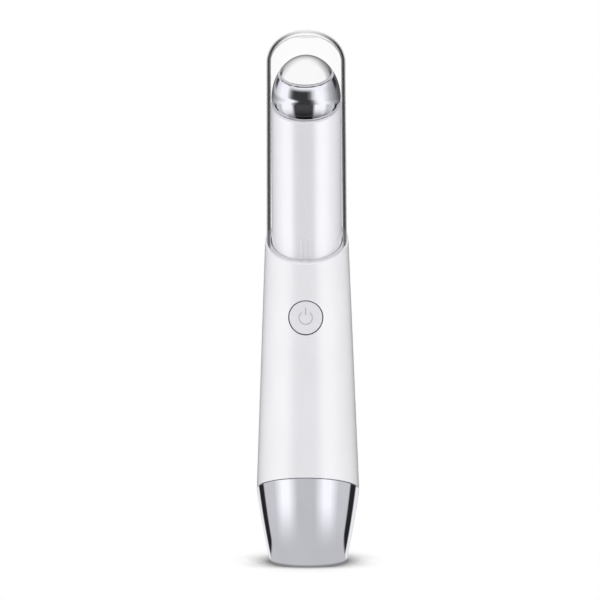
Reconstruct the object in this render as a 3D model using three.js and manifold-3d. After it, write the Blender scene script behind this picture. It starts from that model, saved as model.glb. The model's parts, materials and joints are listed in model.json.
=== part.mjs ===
// A battery eye massager: a wand with a heated, vibrating head under a clear cap.
// Millimetres, +Z up. The origin is the centre of the underside of the base, and the
// front, with the power button, faces -Y.
import * as THREE from "three";
import { mergeVertices } from "three/addons/utils/BufferGeometryUtils.js";
import Module from "manifold-3d";

const wasm = await Module();
wasm.setup();

const degrees = Math.PI / 180;

// Facets round a turned piece
const shellSides = 40;
const innerSides = 24;
const smallSides = 10;
const leadSides = 6;
const leadSteps = 16;
const edgeSteps = 3;
const coneSteps = 3;
const domeSteps = 6;
const headSteps = 8;

// Clearances, and how far a cutter reaches past what it cuts
const fitGap = 0.3;
const seamGap = 0.2;
const closeGap = 0.1;
const overrun = 1;

// Walls
const coverWall = 1.2;
const coverFloor = 1.6;
const handleWall = 1.6;
const neckWall = 1.2;
const capWall = 1.05;
const collarWall = 0.9;
const plateWall = 1;

// Outline of the body: a foot, a slightly full cone that opens up to a slanted rim, which
// is the belt, and a handle that tapers from there up to the shoulder
const footEdge = 1.2;
const creaseHeight = 1.6;
const coneTaper = 3.3;
const coneBulge = 0.2;
const beltRoom = 1.6;
const seamHeight = 20.6;
const seamTilt = 21 * degrees;
const shoulderTilt = 24 * degrees;

// Neck, its flange under the handle's shoulder, and the ribs that key the cap
const leadRoom = 2.95;
const flangeThickness = 1.8;
const shoulderRise = 10.9;
const shoulderStep = 0.3;
const keyRibWidth = 0.5;
const keyRibSpacing = 2.6;
const keyRibStand = 0.2;
const keyRibRise = 1.4;
const capKeyWidth = 1.4;

// Clear cap: its dome ends in a small flat crown
const capFootGap = 0.5;
const capHeadGap = 0.35;
const capHeadroom = 6.7;
const capCrown = 1.7;
const crownRadius = 3.6;
const domeRise = 8.9;

// Head: an egg-shaped outline, cut by slanted planes into collar and plate
const headLift = 1.1;
const headRise = 12.3;
const headLowAngle = -45 * degrees;
const beadHeight = 1.5;
const beadInset = 0.35;
const plateRise = 8.1;
const gasketThickness = 0.5;
const gasketInset = 0.15;
const gasketDepth = 1.9;

// Battery, an AAA cell
const batteryRadius = 5.25;
const batteryLength = 44.5;
const nubRadius = 1.9;
const nubHeight = 1.2;
const cellEdge = 0.4;
const cellDish = 0.3;

// Liner of the base cover, with the battery's cup and the spigot that the socket grips
const linerFloor = 2;
const linerWall = 1.2;
const linerDrop = 0.7;
const spigotRoom = 0.5;
const spigotWall = 1.6;
const spigotLength = 10.1;
const cupGap = 0.4;
const cupWall = 1.2;
const cupDrop = 1.4;
const linerRibs = 6;
const linerRibThickness = 1;
const linerRibHeight = 7;
const sealRadius = 0.45;
const sealGap = 0.15;

// Contacts and the battery spring
const contactThickness = 0.4;
const stripWidth = 3;
const contactLap = 4;
const springLength = 4.5;
const springTurns = 3;
const springStepsPerTurn = 8;
const springSides = 5;
const springWire = 0.35;
const springInset = 0.8;
const springTopRadius = 2.4;
const positiveContactRadius = 4.2;
const positiveTabWidth = 2.4;

// Socket ring in the bottom of the handle
const socketWall = 0.9;
const socketLead = 0.3;
const ledgeGap = 1.5;
const ledgeThickness = 2;
const socketCollar = 8;

// Chassis
const tubeGap = 0.25;
const tubeWall = 1.3;
const tubeLift = 2.6;
const tubeBand = 5;
const tubeWindowWidth = 6;
const chassisFlange = 1.6;
const bulkheadRim = 1.7;
const bulkheadThickness = 1.4;
const deckThickness = 1.8;
const boardPlateThickness = 1.5;
const boardWindowWidth = 9.6;
const boardWindowFrame = 1.8;

// Screws
const screwRadius = 0.55;
const screwHeadRadius = 1.1;
const screwHeadThickness = 0.8;
const screwLength = 3.2;
const screwSlotWidth = 0.35;
const screwSlotDepth = 0.35;

// Circuit board and what is soldered to it
const boardThickness = 1;
const boardRise = 1.4;
const boardCorner = 1;
const boardSide = 0.5;
const boardMargin = 0.7;
const boardScrewInset = 1.6;
const partsZone = 7.8;
const coilRadius = 2.6;
const coilThickness = 2.8;
const coilFlange = 0.5;
const coilWaist = 0.6;
const capacitorRadius = 1.5;
const capacitorLength = 3.4;
const capacitorEdge = 0.4;
const chipWidth = 3.9;
const chipHeight = 4.9;
const chipThickness = 1.2;
const chipLift = 1.2;

// Power button, its guide and its switch
const buttonRadius = 4.6;
const buttonFace = 1.1;
const buttonSkirt = 0.9;
const buttonRoom = 0.5;
const buttonFlangeStand = 0.9;
const buttonFlangeThickness = 0.8;
const buttonStemRadius = 1.5;
const buttonStemLength = 0.7;
const dishRadius = 30;
const dishDepth = 0.3;
const switchRoom = 0.55;
const switchThickness = 1.8;
const plungerRadius = 1.7;
const plungerStand = 0.9;
const plungerDepth = 1;
const guideWall = 0.7;
const padWidth = 0.9;
const padThickness = 2.7;

// Vibration motor in the neck, and the weight that it spins
const motorRise = 19.9;
const motorRadius = 3.5;
const motorLength = 13;
const motorEdge = 0.4;
const noseRadius = 1.2;
const noseHeight = 0.8;
const shaftRadius = 0.5;
const shaftClearance = 0.1;
const shaftDepth = 6;
const shaftEnd = 0.8;
const endCapThickness = 2;
const weightInset = 0.5;
const weightHub = 1.3;
const weightGap = 2;
const weightLength = 5.4;

// Cradle that stands on the chassis deck and holds the motor in its sleeve
const cradleGap = 0.25;
const cradleFootThickness = 1.5;
const cradleWall = 1.1;
const cradleFloor = 1.2;
const cradleDrop = 1;
const columnInset = 1;
const columnWall = 1.4;
const cradleFins = 3;
const finTurn = 30 * degrees;
const finThickness = 1.2;
const finDrop = 1.5;
const leadWindowWidth = 2.4;
const leadWindowHeight = 3;
const sleeveWall = 0.7;
const sleeveDrop = 1.5;

// Leads and the ports that they pass through
const leadRadius = 0.45;
const portRadius = 1;
const motorPortGap = 0.9;
const heaterPortGap = 1.4;
const heaterPortSide = 1.8;

// Core of the head, heater and temperature sensor
const coreReach = 7.4;
const coreRim = 1.3;
const coreHollow = 4.5;
const coreLeadBack = 3;
const heaterRim = 2.8;
const heaterThickness = 0.6;
const sensorRadius = 0.7;
const sensorLength = 1.2;
const sensorForward = 2.6;

// Radii, from the battery out to the belt
const tubeOuter = batteryRadius + tubeGap + tubeWall;
const stripRadius = tubeOuter + fitGap;
const armRadius = stripRadius + contactThickness + fitGap;
const spigotInner = armRadius + contactThickness + spigotRoom;
const spigotRadius = spigotInner + spigotWall;
const socketBore = spigotRadius + fitGap;
const socketRadius = socketBore + socketWall;
const beltRadius = socketRadius + coverWall + beltRoom;
const creaseRadius = beltRadius - coneTaper;
const footRadius = creaseRadius - footEdge;
const bulkheadRadius = stripRadius + contactThickness + fitGap + bulkheadRim;
const chassisScrewRadius = spigotRadius - screwHeadRadius - closeGap;
const ledgeRadius = stripRadius + contactThickness + 2 * fitGap;
const baseContactRadius = batteryRadius - tubeGap;
const springFootRadius = baseContactRadius - springInset;

// Radii, from the motor out to the neck, the cap and the shoulder
const endCapRadius = motorRadius - seamGap;
const weightRadius = motorRadius - weightInset;
const cradleBore = motorRadius + closeGap + sleeveWall + seamGap;
const cradleRadius = cradleBore + cradleWall;
const columnRadius = cradleRadius - columnInset;
const neckInner = cradleRadius + leadRoom;
const neckRadius = neckInner + neckWall;
const cradleFootRadius = neckInner - cradleGap;
const coreHollowRadius = cradleFootRadius - coreRim;
const headRadius = neckRadius - closeGap;
const heaterRadius = headRadius * Math.cos(Math.asin(plateRise / headRise)) - heaterRim;
const capInner = neckRadius + capFootGap;
const capFootRadius = capInner + capWall;
const capTopRadius = headRadius + capHeadGap + capWall;
const shoulderRadius = capFootRadius + shoulderStep;

// Radii of the button's guide and of what lies inside it
const buttonFlangeRadius = buttonRadius + buttonFlangeStand;
const guideInner = buttonFlangeRadius + fitGap;
const guideOuter = guideInner + guideWall;
const padOuter = guideInner - closeGap;
const padInner = padOuter - padWidth;
const switchWidth = Math.SQRT2 * (padInner - switchRoom);

// Heights, stacked from the foot up
const leanLow = Math.max(creaseHeight, coverFloor);
const rimHeight = seamHeight - seamGap / 2;
const seamLow = seamHeight - beltRadius * Math.tan(seamTilt);
const linerFloorTop = coverFloor + linerFloor;
const linerTop = seamLow - linerDrop;
const cupTop = linerTop - cupDrop;
const spigotTop = linerTop + spigotLength;
const sealHeight = (linerTop + spigotTop) / 2;
const socketLow = seamLow + socketLead;
const ledgeLow = spigotTop + ledgeGap;
const ledgeTop = ledgeLow + ledgeThickness;
const socketTop = ledgeTop + socketCollar;
const tubeLow = linerTop + tubeLift;
const baseContactTop = tubeLow + contactLap;
const batteryLow = linerFloorTop + contactThickness + springLength;
const batteryTop = batteryLow + batteryLength;
const bulkheadLow = batteryTop + fitGap + contactThickness;
const bulkheadTop = bulkheadLow + bulkheadThickness;
const boardLow = bulkheadTop + boardRise;
const buttonHeight = boardLow + partsZone + guideOuter;
const boardHigh = buttonHeight + guideOuter + boardMargin;
const deckLow = boardHigh + fitGap;
const neckLow = deckLow + deckThickness;
const shoulderHeight = neckLow + shoulderRise;
const keyRibTop = shoulderHeight + keyRibRise;
const motorLow = neckLow + motorRise;
const motorTop = motorLow + motorLength;
const endCapLow = motorLow - endCapThickness - closeGap;
const cradleFloorTop = endCapLow - fitGap;
const cradleTop = motorTop - cradleDrop;
const weightLow = motorTop + weightGap;
const shaftTop = weightLow + weightLength + shaftEnd;
const coreLow = shaftTop + shaftEnd;
const coreHollowTop = coreLow + coreHollow;
const collarHeight = coreLow + coreReach;
const headHeight = collarHeight + headLift;
const plateHeight = headHeight + plateRise;
const capTop = headHeight + headRise + capHeadroom;
const domeHeight = capTop - domeRise;
const coreDrop = gasketThickness / 2 + closeGap + heaterThickness + fitGap;

// Sizes that the handle's taper sets
const taper = (beltRadius - shoulderRadius) / (shoulderHeight - seamHeight);
const rimShift = beltRadius * taper * Math.tan(seamTilt);
const rimFront = rimHeight + (beltRadius - rimShift) * Math.tan(seamTilt);
const flangeRadius = handleRadius(neckLow + flangeThickness) - handleWall - seamGap;
const deckRadius = flangeRadius - fitGap;

// Places from the front of the handle in to the circuit board
const shellInside = handleRadius(buttonHeight) - handleWall;
const buttonFlangeFront = -across(shellInside - buttonRoom, buttonFlangeRadius);
const buttonFlangeBack = buttonFlangeFront + buttonFlangeThickness;
const guideFront = -across(shellInside - seamGap, guideOuter);
const plungerTip = buttonFlangeBack + buttonStemLength;
const switchFront = plungerTip + plungerStand;
const boardFront = switchFront + switchThickness;
const boardBack = boardFront + boardThickness;

// Places on the circuit board, and the ports, as seen from the front and from above
const boardWidth = 2 * (guideOuter + boardSide);
const boardPlateWidth = 2 * (stripRadius - fitGap);
const boardScrewPlace = [boardWidth / 2 - boardScrewInset, boardLow + boardScrewInset];
const coilX = coilRadius + screwHeadRadius + seamGap - boardScrewPlace[0];
const coilPlace = [coilX, boardLow + partsZone / 2];
const capacitorX = coilX + coilRadius + seamGap + capacitorRadius;
const capacitorPlace = [capacitorX, boardLow + partsZone - capacitorRadius - seamGap];
const boardWindowLow = boardLow + partsZone - fitGap;
const boardWindowHigh = deckLow - boardWindowFrame;
const chipLow = boardWindowLow + chipLift;
const motorPort = [cradleRadius + motorPortGap, 0];
const heaterPort = [heaterPortSide, cradleRadius + heaterPortGap];

// Ends that the slanted cuts trim, and the size of the cutting block
const neckTop = collarHeight + neckRadius * Math.tan(shoulderTilt) + overrun;
const shellTop = shoulderHeight + shoulderRadius * Math.tan(shoulderTilt) + overrun;
const cutSize = 2 * capTop;

// Finishes

function finish(color, roughness, metalness, opacity = 1) {
  return new THREE.MeshStandardMaterial({
    color,
    roughness,
    metalness,
    opacity,
    transparent: opacity < 1,
  });
}

const pearlWhite = () => finish(0xeeeef2, 0.18, 0);
const chrome = () => finish(0xd4d6dc, 0.06, 1);
const clearPlastic = () => finish(0xf6f9fc, 0.04, 0, 0.2);
const whitePlastic = () => finish(0xe9e9ea, 0.5, 0);
const greyPlastic = () => finish(0xb9bcc2, 0.55, 0);
const steel = () => finish(0xb8bbc0, 0.35, 1);
const brass = () => finish(0xc9a45c, 0.35, 1);
const rubber = (color) => finish(color, 0.8, 0);

// Solids: a three.js geometry as a closed solid and back, and the cuts they take

function solid(geometry) {
  const bare = geometry.clone();
  bare.deleteAttribute("normal");
  bare.deleteAttribute("uv");
  const merged = mergeVertices(bare);
  return new wasm.Manifold(
    new wasm.Mesh({
      numProp: merged.attributes.position.itemSize,
      vertProperties: new Float32Array(merged.attributes.position.array),
      triVerts: new Uint32Array(merged.index.array),
    }),
  );
}

function mesh(name, shape, material) {
  if (shape.isBufferGeometry) {
    return named(name, shape, material);
  }
  const cut = shape.getMesh();
  const geometry = new THREE.BufferGeometry();
  geometry.setAttribute("position", new THREE.BufferAttribute(cut.vertProperties, cut.numProp));
  geometry.setIndex(new THREE.BufferAttribute(cut.triVerts, 1));
  geometry.computeVertexNormals();
  return named(name, geometry, material);
}

function named(name, geometry, material) {
  const piece = new THREE.Mesh(geometry, material);
  piece.name = name;
  return piece;
}

// A profile of [radius, height] points turned about the Z axis
function turned(points, sides) {
  const profile = points.map(([radius, height]) => new THREE.Vector2(radius, height));
  return new THREE.LatheGeometry(profile, sides).rotateX(Math.PI / 2);
}

// A profile that closes on itself, such as a ring or a tube
function turnedRing(points, sides) {
  return turned([...points, points[0]], sides);
}

function disc(radius, low, high, sides) {
  return turned([[0, low], [radius, low], [radius, high], [0, high]], sides);
}

function tube(inner, outer, low, high, sides) {
  return turnedRing([[inner, low], [outer, low], [outer, high], [inner, high]], sides);
}

// A block from its lowest to its highest corner
function block(low, high) {
  const size = high.map((end, axis) => end - low[axis]);
  const middle = high.map((end, axis) => (end + low[axis]) / 2);
  return new THREE.BoxGeometry(...size).translate(...middle);
}

// A round bar along Y, from its front to its back
function barAlongY(radius, front, back, x, z, sides) {
  const bar = new THREE.CylinderGeometry(radius, radius, back - front, sides);
  return bar.translate(x, (front + back) / 2, z);
}

// All that lies above a plane through the axis at a height, tilted up towards the back
function above(height, tilt) {
  const half = new THREE.BoxGeometry(cutSize, cutSize, cutSize);
  return solid(half.translate(0, 0, cutSize / 2).rotateX(tilt).translate(0, 0, height));
}

function keepAbove(shape, height, tilt) {
  return shape.intersect(above(height, tilt));
}

function keepBelow(shape, height, tilt) {
  return shape.subtract(above(height, tilt));
}

// Outlines

// Radius of the handle at a height: one straight taper from its seam to the shoulder
function handleRadius(height) {
  return beltRadius - taper * (height - seamHeight);
}

// Radius of the base's cone at a share of the way from its crease to its rim
function coneRadius(share) {
  return creaseRadius + coneTaper * share + coneBulge * 4 * share * (1 - share);
}

// Radius of the leaned cone's front, its narrowest side, at a height
function coneFront(height) {
  const share = (height - creaseHeight) / (rimFront - creaseHeight);
  return coneRadius(share) - rimShift * share;
}

// How far a circle reaches from the axis where it is a given distance to one side of it
function across(radius, side) {
  return Math.sqrt(radius ** 2 - side ** 2);
}

// The handle's outline between two heights, drawn in by a depth
function handleLine(low, high, depth) {
  return [low, high].map((height) => [handleRadius(height) - depth, height]);
}

// The cone's outline from a height up to the rim, drawn in by a depth
function coneLine(low, depth) {
  return Array.from({ length: coneSteps + 1 }, (_, step) => {
    const height = THREE.MathUtils.lerp(low, rimHeight, step / coneSteps);
    const share = (height - creaseHeight) / (rimHeight - creaseHeight);
    return [coneRadius(share) - depth, height];
  });
}

// Leans the cone's level rings step by step up to the seam's slant at the rim, and shifts
// them back with the handle's taper, so that rim and handle stay flush
function leaned(geometry) {
  const places = geometry.attributes.position;
  for (let index = 0; index < places.count; index += 1) {
    const height = places.getZ(index);
    const share = Math.max(0, (height - leanLow) / (rimHeight - leanLow));
    const back = places.getY(index) + share * rimShift;
    places.setY(index, back);
    places.setZ(index, height - share * back * Math.tan(seamTilt));
  }
  return geometry;
}

// Quarter round from the foot's flat face to just short of the crease where the cone starts
function footRound() {
  return Array.from({ length: edgeSteps }, (_, step) => {
    const angle = (step / edgeSteps) * 90 * degrees;
    const radius = footRadius + (creaseRadius - footRadius) * Math.sin(angle);
    return [radius, creaseHeight * (1 - Math.cos(angle))];
  });
}

// Elliptical dome from its springing up to where its flat crown starts
function domeLine(radius, low, top, crown) {
  const lastAngle = Math.acos(crown / radius);
  const rise = (top - low) / Math.sin(lastAngle);
  return Array.from({ length: domeSteps + 1 }, (_, step) => {
    const angle = (step / domeSteps) * lastAngle;
    return [radius * Math.cos(angle), low + rise * Math.sin(angle)];
  });
}

// The head's egg-shaped outline from its lower end to its apex, drawn in by an inset
function headLine(inset) {
  return Array.from({ length: headSteps + 1 }, (_, step) => {
    const angle = headLowAngle + (step / headSteps) * (90 * degrees - headLowAngle);
    const radius = step === headSteps ? 0 : (headRadius - inset) * Math.cos(angle);
    return [radius, headHeight + (headRise - inset) * Math.sin(angle)];
  });
}

// A shell that follows the head's outline
function headShell(outerInset, innerInset) {
  const outer = headLine(outerInset);
  const inner = headLine(innerInset).reverse();
  return solid(turnedRing([...outer, ...inner], shellSides));
}

// The head's outline filled solid
function headBody(inset) {
  const line = headLine(inset);
  return solid(turned([[0, line[0][1]], ...line], shellSides));
}

// Base: chrome cover, its liner with seal, contact and spring

function baseCover() {
  const cup = turned([
    [0, 0],
    ...footRound(),
    ...coneLine(creaseHeight, 0),
    ...coneLine(coverFloor, coverWall).reverse(),
    [0, coverFloor],
  ], shellSides);
  return mesh("base_cover", solid(leaned(cup)), chrome());
}

// Groove for the seal, as a step in and out of the spigot's outline
function sealGroove() {
  const floor = spigotRadius - 2 * sealRadius;
  const half = sealRadius + sealGap;
  return [
    [spigotRadius, sealHeight - half],
    [floor, sealHeight - half],
    [floor, sealHeight + half],
    [spigotRadius, sealHeight + half],
  ];
}

function baseInsert() {
  const lining = coverWall + fitGap;
  const body = solid(turned([
    [0, coverFloor],
    [coneFront(coverFloor) - lining, coverFloor],
    [coneFront(linerTop) - lining, linerTop],
    [spigotRadius, linerTop],
    ...sealGroove(),
    [spigotRadius, spigotTop],
    [spigotInner, spigotTop],
    [coneFront(linerFloorTop) - lining - linerWall, linerFloorTop],
    [0, linerFloorTop],
  ], innerSides));
  const cupInner = batteryRadius + cupGap;
  const cup = solid(tube(cupInner, cupInner + cupWall, linerFloorTop - overrun, cupTop, innerSides));
  const ribbed = Array.from({ length: linerRibs }, (_, index) => linerRib(index));
  const whole = ribbed.reduce((sum, rib) => sum.add(rib), body.add(cup));
  const armSlot = block(
    [0, -stripWidth / 2 - fitGap, linerFloorTop],
    [armRadius + contactThickness, stripWidth / 2 + fitGap, cupTop + overrun],
  );
  return mesh("base_insert", whole.subtract(solid(armSlot)), whitePlastic());
}

// One radial rib between the liner's battery cup and its wall
function linerRib(index) {
  const inner = batteryRadius + cupGap + cupWall / 2;
  const outer = coneFront(linerFloorTop) - coverWall - fitGap - linerWall / 2;
  const half = linerRibThickness / 2;
  const low = linerFloorTop - overrun;
  const rib = block([inner, -half, low], [outer, half, linerFloorTop + linerRibHeight]);
  const share = (index + 0.5) / linerRibs;
  return solid(rib.rotateZ(share * 360 * degrees));
}

function baseSeal() {
  const radius = spigotRadius - sealRadius + sealGap;
  const ring = new THREE.TorusGeometry(radius - sealGap / 2, sealRadius, leadSides, innerSides);
  return mesh("base_seal", ring.translate(0, 0, sealHeight), rubber(0x3a3c40));
}

// Disc under the spring, with an arm that rises to wipe on the chassis strip
function baseContact() {
  const top = linerFloorTop + contactThickness;
  const plate = solid(disc(baseContactRadius, linerFloorTop, top, innerSides));
  const outer = armRadius + contactThickness;
  const half = stripWidth / 2;
  const foot = solid(block([0, -half, linerFloorTop], [outer, half, top]));
  const arm = solid(block([armRadius, -half, linerFloorTop], [outer, half, baseContactTop]));
  return mesh("base_contact", plate.add(foot).add(arm), brass());
}

// Conical helix of the battery spring, wide at its foot
class SpringLine extends THREE.Curve {
  getPoint(share, target = new THREE.Vector3()) {
    const low = linerFloorTop + contactThickness + springWire + closeGap;
    const high = batteryLow - springWire - closeGap;
    const radius = THREE.MathUtils.lerp(springFootRadius, springTopRadius, share);
    const angle = share * springTurns * 360 * degrees;
    const height = THREE.MathUtils.lerp(low, high, share);
    return target.set(radius * Math.cos(angle), radius * Math.sin(angle), height);
  }
}

function springSteps() {
  return Math.round(springTurns * springStepsPerTurn);
}

// Least gap between one turn of the spring and the next
function springGap() {
  const line = new SpringLine();
  const turn = 1 / springTurns;
  const places = springSteps();
  const gaps = Array.from({ length: places - springStepsPerTurn + 1 }, (_, place) => {
    const share = place / places;
    return line.getPoint(share).distanceTo(line.getPoint(share + turn)) - 2 * springWire;
  });
  return Math.min(...gaps);
}

function roundSection(radius, sides) {
  const points = Array.from({ length: sides }, (_, side) => {
    const angle = (side / sides) * 360 * degrees;
    return new THREE.Vector2(radius * Math.cos(angle), radius * Math.sin(angle));
  });
  return new THREE.Shape(points);
}

function batterySpring() {
  const wire = new THREE.ExtrudeGeometry(roundSection(springWire, springSides), {
    steps: springSteps(),
    extrudePath: new SpringLine(),
  });
  return mesh("battery_spring", wire, steel());
}

// Battery and its contacts on the chassis

function battery() {
  const bodyTop = batteryTop - nubHeight;
  const cell = turned([
    [0, batteryLow],
    [batteryRadius - 2 * cellEdge, batteryLow],
    [batteryRadius - cellEdge, batteryLow + cellDish],
    [batteryRadius, batteryLow + cellDish + cellEdge],
    [batteryRadius, bodyTop - cellEdge],
    [batteryRadius - cellEdge, bodyTop],
    [nubRadius, bodyTop],
    [nubRadius, batteryTop],
    [0, batteryTop],
  ], innerSides);
  return mesh("battery", cell, finish(0x4a6f8f, 0.35, 0.4));
}

function positiveContact() {
  const plate = solid(disc(positiveContactRadius, bulkheadLow - contactThickness, bulkheadLow, innerSides));
  const half = positiveTabWidth / 2;
  const front = (boardFront + boardBack - contactThickness) / 2;
  const low = bulkheadLow - contactThickness;
  const foot = solid(block([-half, front, low], [half, 0, bulkheadLow]));
  const tab = solid(block([-half, front, low], [half, front + contactThickness, boardLow - fitGap]));
  return mesh("positive_contact", plate.add(foot).add(tab), brass());
}

// Strip up the side of the battery tube, with a tab at its top that reaches the board
function negativeStrip() {
  const half = stripWidth / 2;
  const top = boardLow - fitGap;
  const low = [stripRadius, -half, tubeLow];
  const strip = solid(block(low, [stripRadius + contactThickness, half, top]));
  const tab = solid(block(
    [stripRadius, boardFront, bulkheadTop + fitGap],
    [stripRadius + contactThickness, -half + closeGap, top],
  ));
  return mesh("negative_strip", strip.add(tab), brass());
}

// Handle: shell, socket ring and chassis

function handleShell() {
  const low = seamLow - overrun;
  const stepHeight = neckLow + flangeThickness + fitGap;
  const bore = neckRadius + seamGap;
  const wall = solid(turnedRing([
    ...handleLine(low, shellTop, 0),
    [bore, shellTop],
    [bore, stepHeight],
    ...handleLine(low, stepHeight, handleWall).reverse(),
  ], shellSides));
  const open = keepAbove(wall, seamHeight + seamGap / 2, -seamTilt);
  const topped = keepBelow(open, shoulderHeight, shoulderTilt);
  const holeRadius = buttonRadius + fitGap;
  const hole = barAlongY(holeRadius, -beltRadius, 0, 0, buttonHeight, innerSides);
  return mesh("handle_shell", topped.subtract(solid(hole)), pearlWhite());
}

function baseSocket() {
  const seat = handleWall + seamGap;
  const ring = solid(turnedRing([
    [socketBore, socketLow],
    [socketRadius, socketLow],
    [socketRadius, ledgeTop],
    ...handleLine(ledgeTop, socketTop, seat),
    [socketBore, socketTop],
    [socketBore, ledgeTop],
    [ledgeRadius, ledgeTop],
    [ledgeRadius, ledgeLow],
    [socketBore, ledgeLow],
  ], innerSides));
  const bored = chassisScrewHoles().reduce((left, hole) => left.subtract(hole), ring);
  return mesh("base_socket", bored, greyPlastic());
}

function chassisScrewHoles() {
  return [-1, 1].map((side) => {
    const hole = disc(screwRadius + seamGap, ledgeLow - overrun, ledgeTop + 2 * overrun, smallSides);
    return solid(hole.translate(0, side * chassisScrewRadius, 0));
  });
}

// Battery tube with its flange and bulkhead, turned in one piece
function batteryTube() {
  const inner = batteryRadius + tubeGap;
  const flangeTop = ledgeTop + chassisFlange;
  return solid(turned([
    [0, bulkheadLow],
    [inner, bulkheadLow],
    [inner, tubeLow],
    [tubeOuter, tubeLow],
    [tubeOuter, ledgeTop],
    [spigotRadius, ledgeTop],
    [spigotRadius, flangeTop],
    [tubeOuter, flangeTop],
    [tubeOuter, bulkheadLow],
    [bulkheadRadius, bulkheadLow],
    [bulkheadRadius, bulkheadTop],
    [0, bulkheadTop],
  ], innerSides));
}

// Plate behind the circuit board, with a window for the chip and the leads
function boardPlate() {
  const front = boardBack + fitGap;
  const back = front + boardPlateThickness;
  const half = boardPlateWidth / 2;
  const sheet = solid(block([-half, front, bulkheadTop - closeGap], [half, back, deckLow + closeGap]));
  const window = solid(block(
    [-boardWindowWidth / 2, front - overrun, boardWindowLow],
    [boardWindowWidth / 2, back + overrun, boardWindowHigh],
  ));
  const holes = [-1, 1].map((side) => {
    const [x, z] = boardScrewPlace;
    return solid(barAlongY(screwRadius + seamGap, front - overrun, back + overrun, side * x, z, smallSides));
  });
  return holes.reduce((left, hole) => left.subtract(hole), sheet.subtract(window));
}

// The places where leads pass up through the deck and the cradle's foot
function leadPorts(low, high) {
  const ports = [motorPort, heaterPort].flatMap(([x, y]) => [[x, y], [-x, y]]);
  return ports.map(([x, y]) => solid(disc(portRadius, low, high, smallSides).translate(x, y, 0)));
}

function chassis() {
  const deck = solid(disc(deckRadius, deckLow, neckLow, innerSides));
  const bored = leadPorts(deckLow - overrun, neckLow + overrun)
    .reduce((left, port) => left.subtract(port), deck);
  const half = stripWidth / 2 + fitGap;
  const stripSlot = solid(block(
    [tubeOuter - closeGap, -half, ledgeLow],
    [stripRadius + contactThickness + fitGap, half, bulkheadTop + overrun],
  ));
  const tabSlot = solid(block(
    [-positiveTabWidth / 2 - fitGap, boardFront, bulkheadLow - overrun],
    [positiveTabWidth / 2 + fitGap, 0, bulkheadTop + overrun],
  ));
  const tubeWindow = solid(block(
    [-tubeWindowWidth / 2, -bulkheadRadius, ledgeTop + tubeBand],
    [tubeWindowWidth / 2, 0, bulkheadLow - tubeBand],
  ));
  const tubePart = [stripSlot, tabSlot, tubeWindow, ...chassisScrewHoles()]
    .reduce((left, cut) => left.subtract(cut), batteryTube());
  return mesh("chassis", tubePart.add(boardPlate()).add(bored), greyPlastic());
}

// A slotted pan head screw that points down, its head's underside at height zero
function screw() {
  const body = solid(turned([
    [0, -screwLength],
    [screwRadius, -screwLength + screwRadius],
    [screwRadius, 0],
    [screwHeadRadius, 0],
    [screwHeadRadius, screwHeadThickness / 2],
    [screwHeadRadius - screwHeadThickness / 2, screwHeadThickness],
    [0, screwHeadThickness],
  ], smallSides));
  const half = screwSlotWidth / 2;
  const slot = block(
    [-screwHeadRadius - overrun, -half, screwHeadThickness - screwSlotDepth],
    [screwHeadRadius + overrun, half, screwHeadThickness + overrun],
  );
  return body.subtract(solid(slot));
}

function chassisScrew(name, side) {
  const piece = mesh(name, screw(), steel());
  piece.position.set(0, side * chassisScrewRadius, ledgeTop + chassisFlange + closeGap);
  return piece;
}

// Circuit board with its parts, and the button over its switch

function circuitBoard() {
  const half = boardWidth / 2;
  const outline = new THREE.Shape();
  outline.moveTo(-half, boardLow);
  outline.lineTo(half, boardLow);
  outline.lineTo(half, boardHigh - boardCorner);
  outline.lineTo(half - boardCorner, boardHigh);
  outline.lineTo(boardCorner - half, boardHigh);
  outline.lineTo(-half, boardHigh - boardCorner);
  outline.closePath();
  const [holeX, holeZ] = boardScrewPlace;
  outline.holes = [-1, 1].map((side) => {
    const hole = new THREE.Path();
    return hole.absarc(side * holeX, holeZ, screwRadius + seamGap, 0, 360 * degrees, true);
  });
  const sheet = new THREE.ExtrudeGeometry(outline, {
    depth: boardThickness,
    bevelEnabled: false,
    curveSegments: smallSides,
  });
  sheet.rotateX(Math.PI / 2).translate(0, boardBack, 0);
  return mesh("circuit_board", sheet, finish(0x2f6b4a, 0.5, 0));
}

function boardScrew(name, side) {
  const [x, z] = boardScrewPlace;
  const piece = mesh(name, screw(), steel());
  piece.position.set(side * x, boardFront - closeGap, z);
  piece.rotation.x = Math.PI / 2;
  return piece;
}

// Boost coil: a bobbin wound between two flanges, standing on the board
function boostCoil() {
  const bobbin = turned([
    [0, 0],
    [coilRadius, 0],
    [coilRadius, coilFlange],
    [coilRadius - coilWaist, coilFlange],
    [coilRadius - coilWaist, coilThickness - coilFlange],
    [coilRadius, coilThickness - coilFlange],
    [coilRadius, coilThickness],
    [0, coilThickness],
  ], smallSides);
  const piece = mesh("boost_coil", bobbin, finish(0x3d3f44, 0.6, 0.2));
  const [x, z] = coilPlace;
  piece.position.set(x, boardFront - closeGap, z);
  piece.rotation.x = Math.PI / 2;
  return piece;
}

function capacitor() {
  const can = turned([
    [0, 0],
    [capacitorRadius, 0],
    [capacitorRadius, capacitorLength - capacitorEdge],
    [capacitorRadius - capacitorEdge, capacitorLength],
    [0, capacitorLength],
  ], smallSides);
  const piece = mesh("capacitor", can, finish(0x8d949d, 0.35, 0.8));
  const [x, z] = capacitorPlace;
  piece.position.set(x, boardFront - closeGap, z);
  piece.rotation.x = Math.PI / 2;
  return piece;
}

function controlChip() {
  const low = [-chipWidth / 2, boardBack + closeGap, chipLow];
  const high = [chipWidth / 2, boardBack + closeGap + chipThickness, chipLow + chipHeight];
  return mesh("control_chip", block(low, high), finish(0x22242a, 0.5, 0));
}

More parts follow.
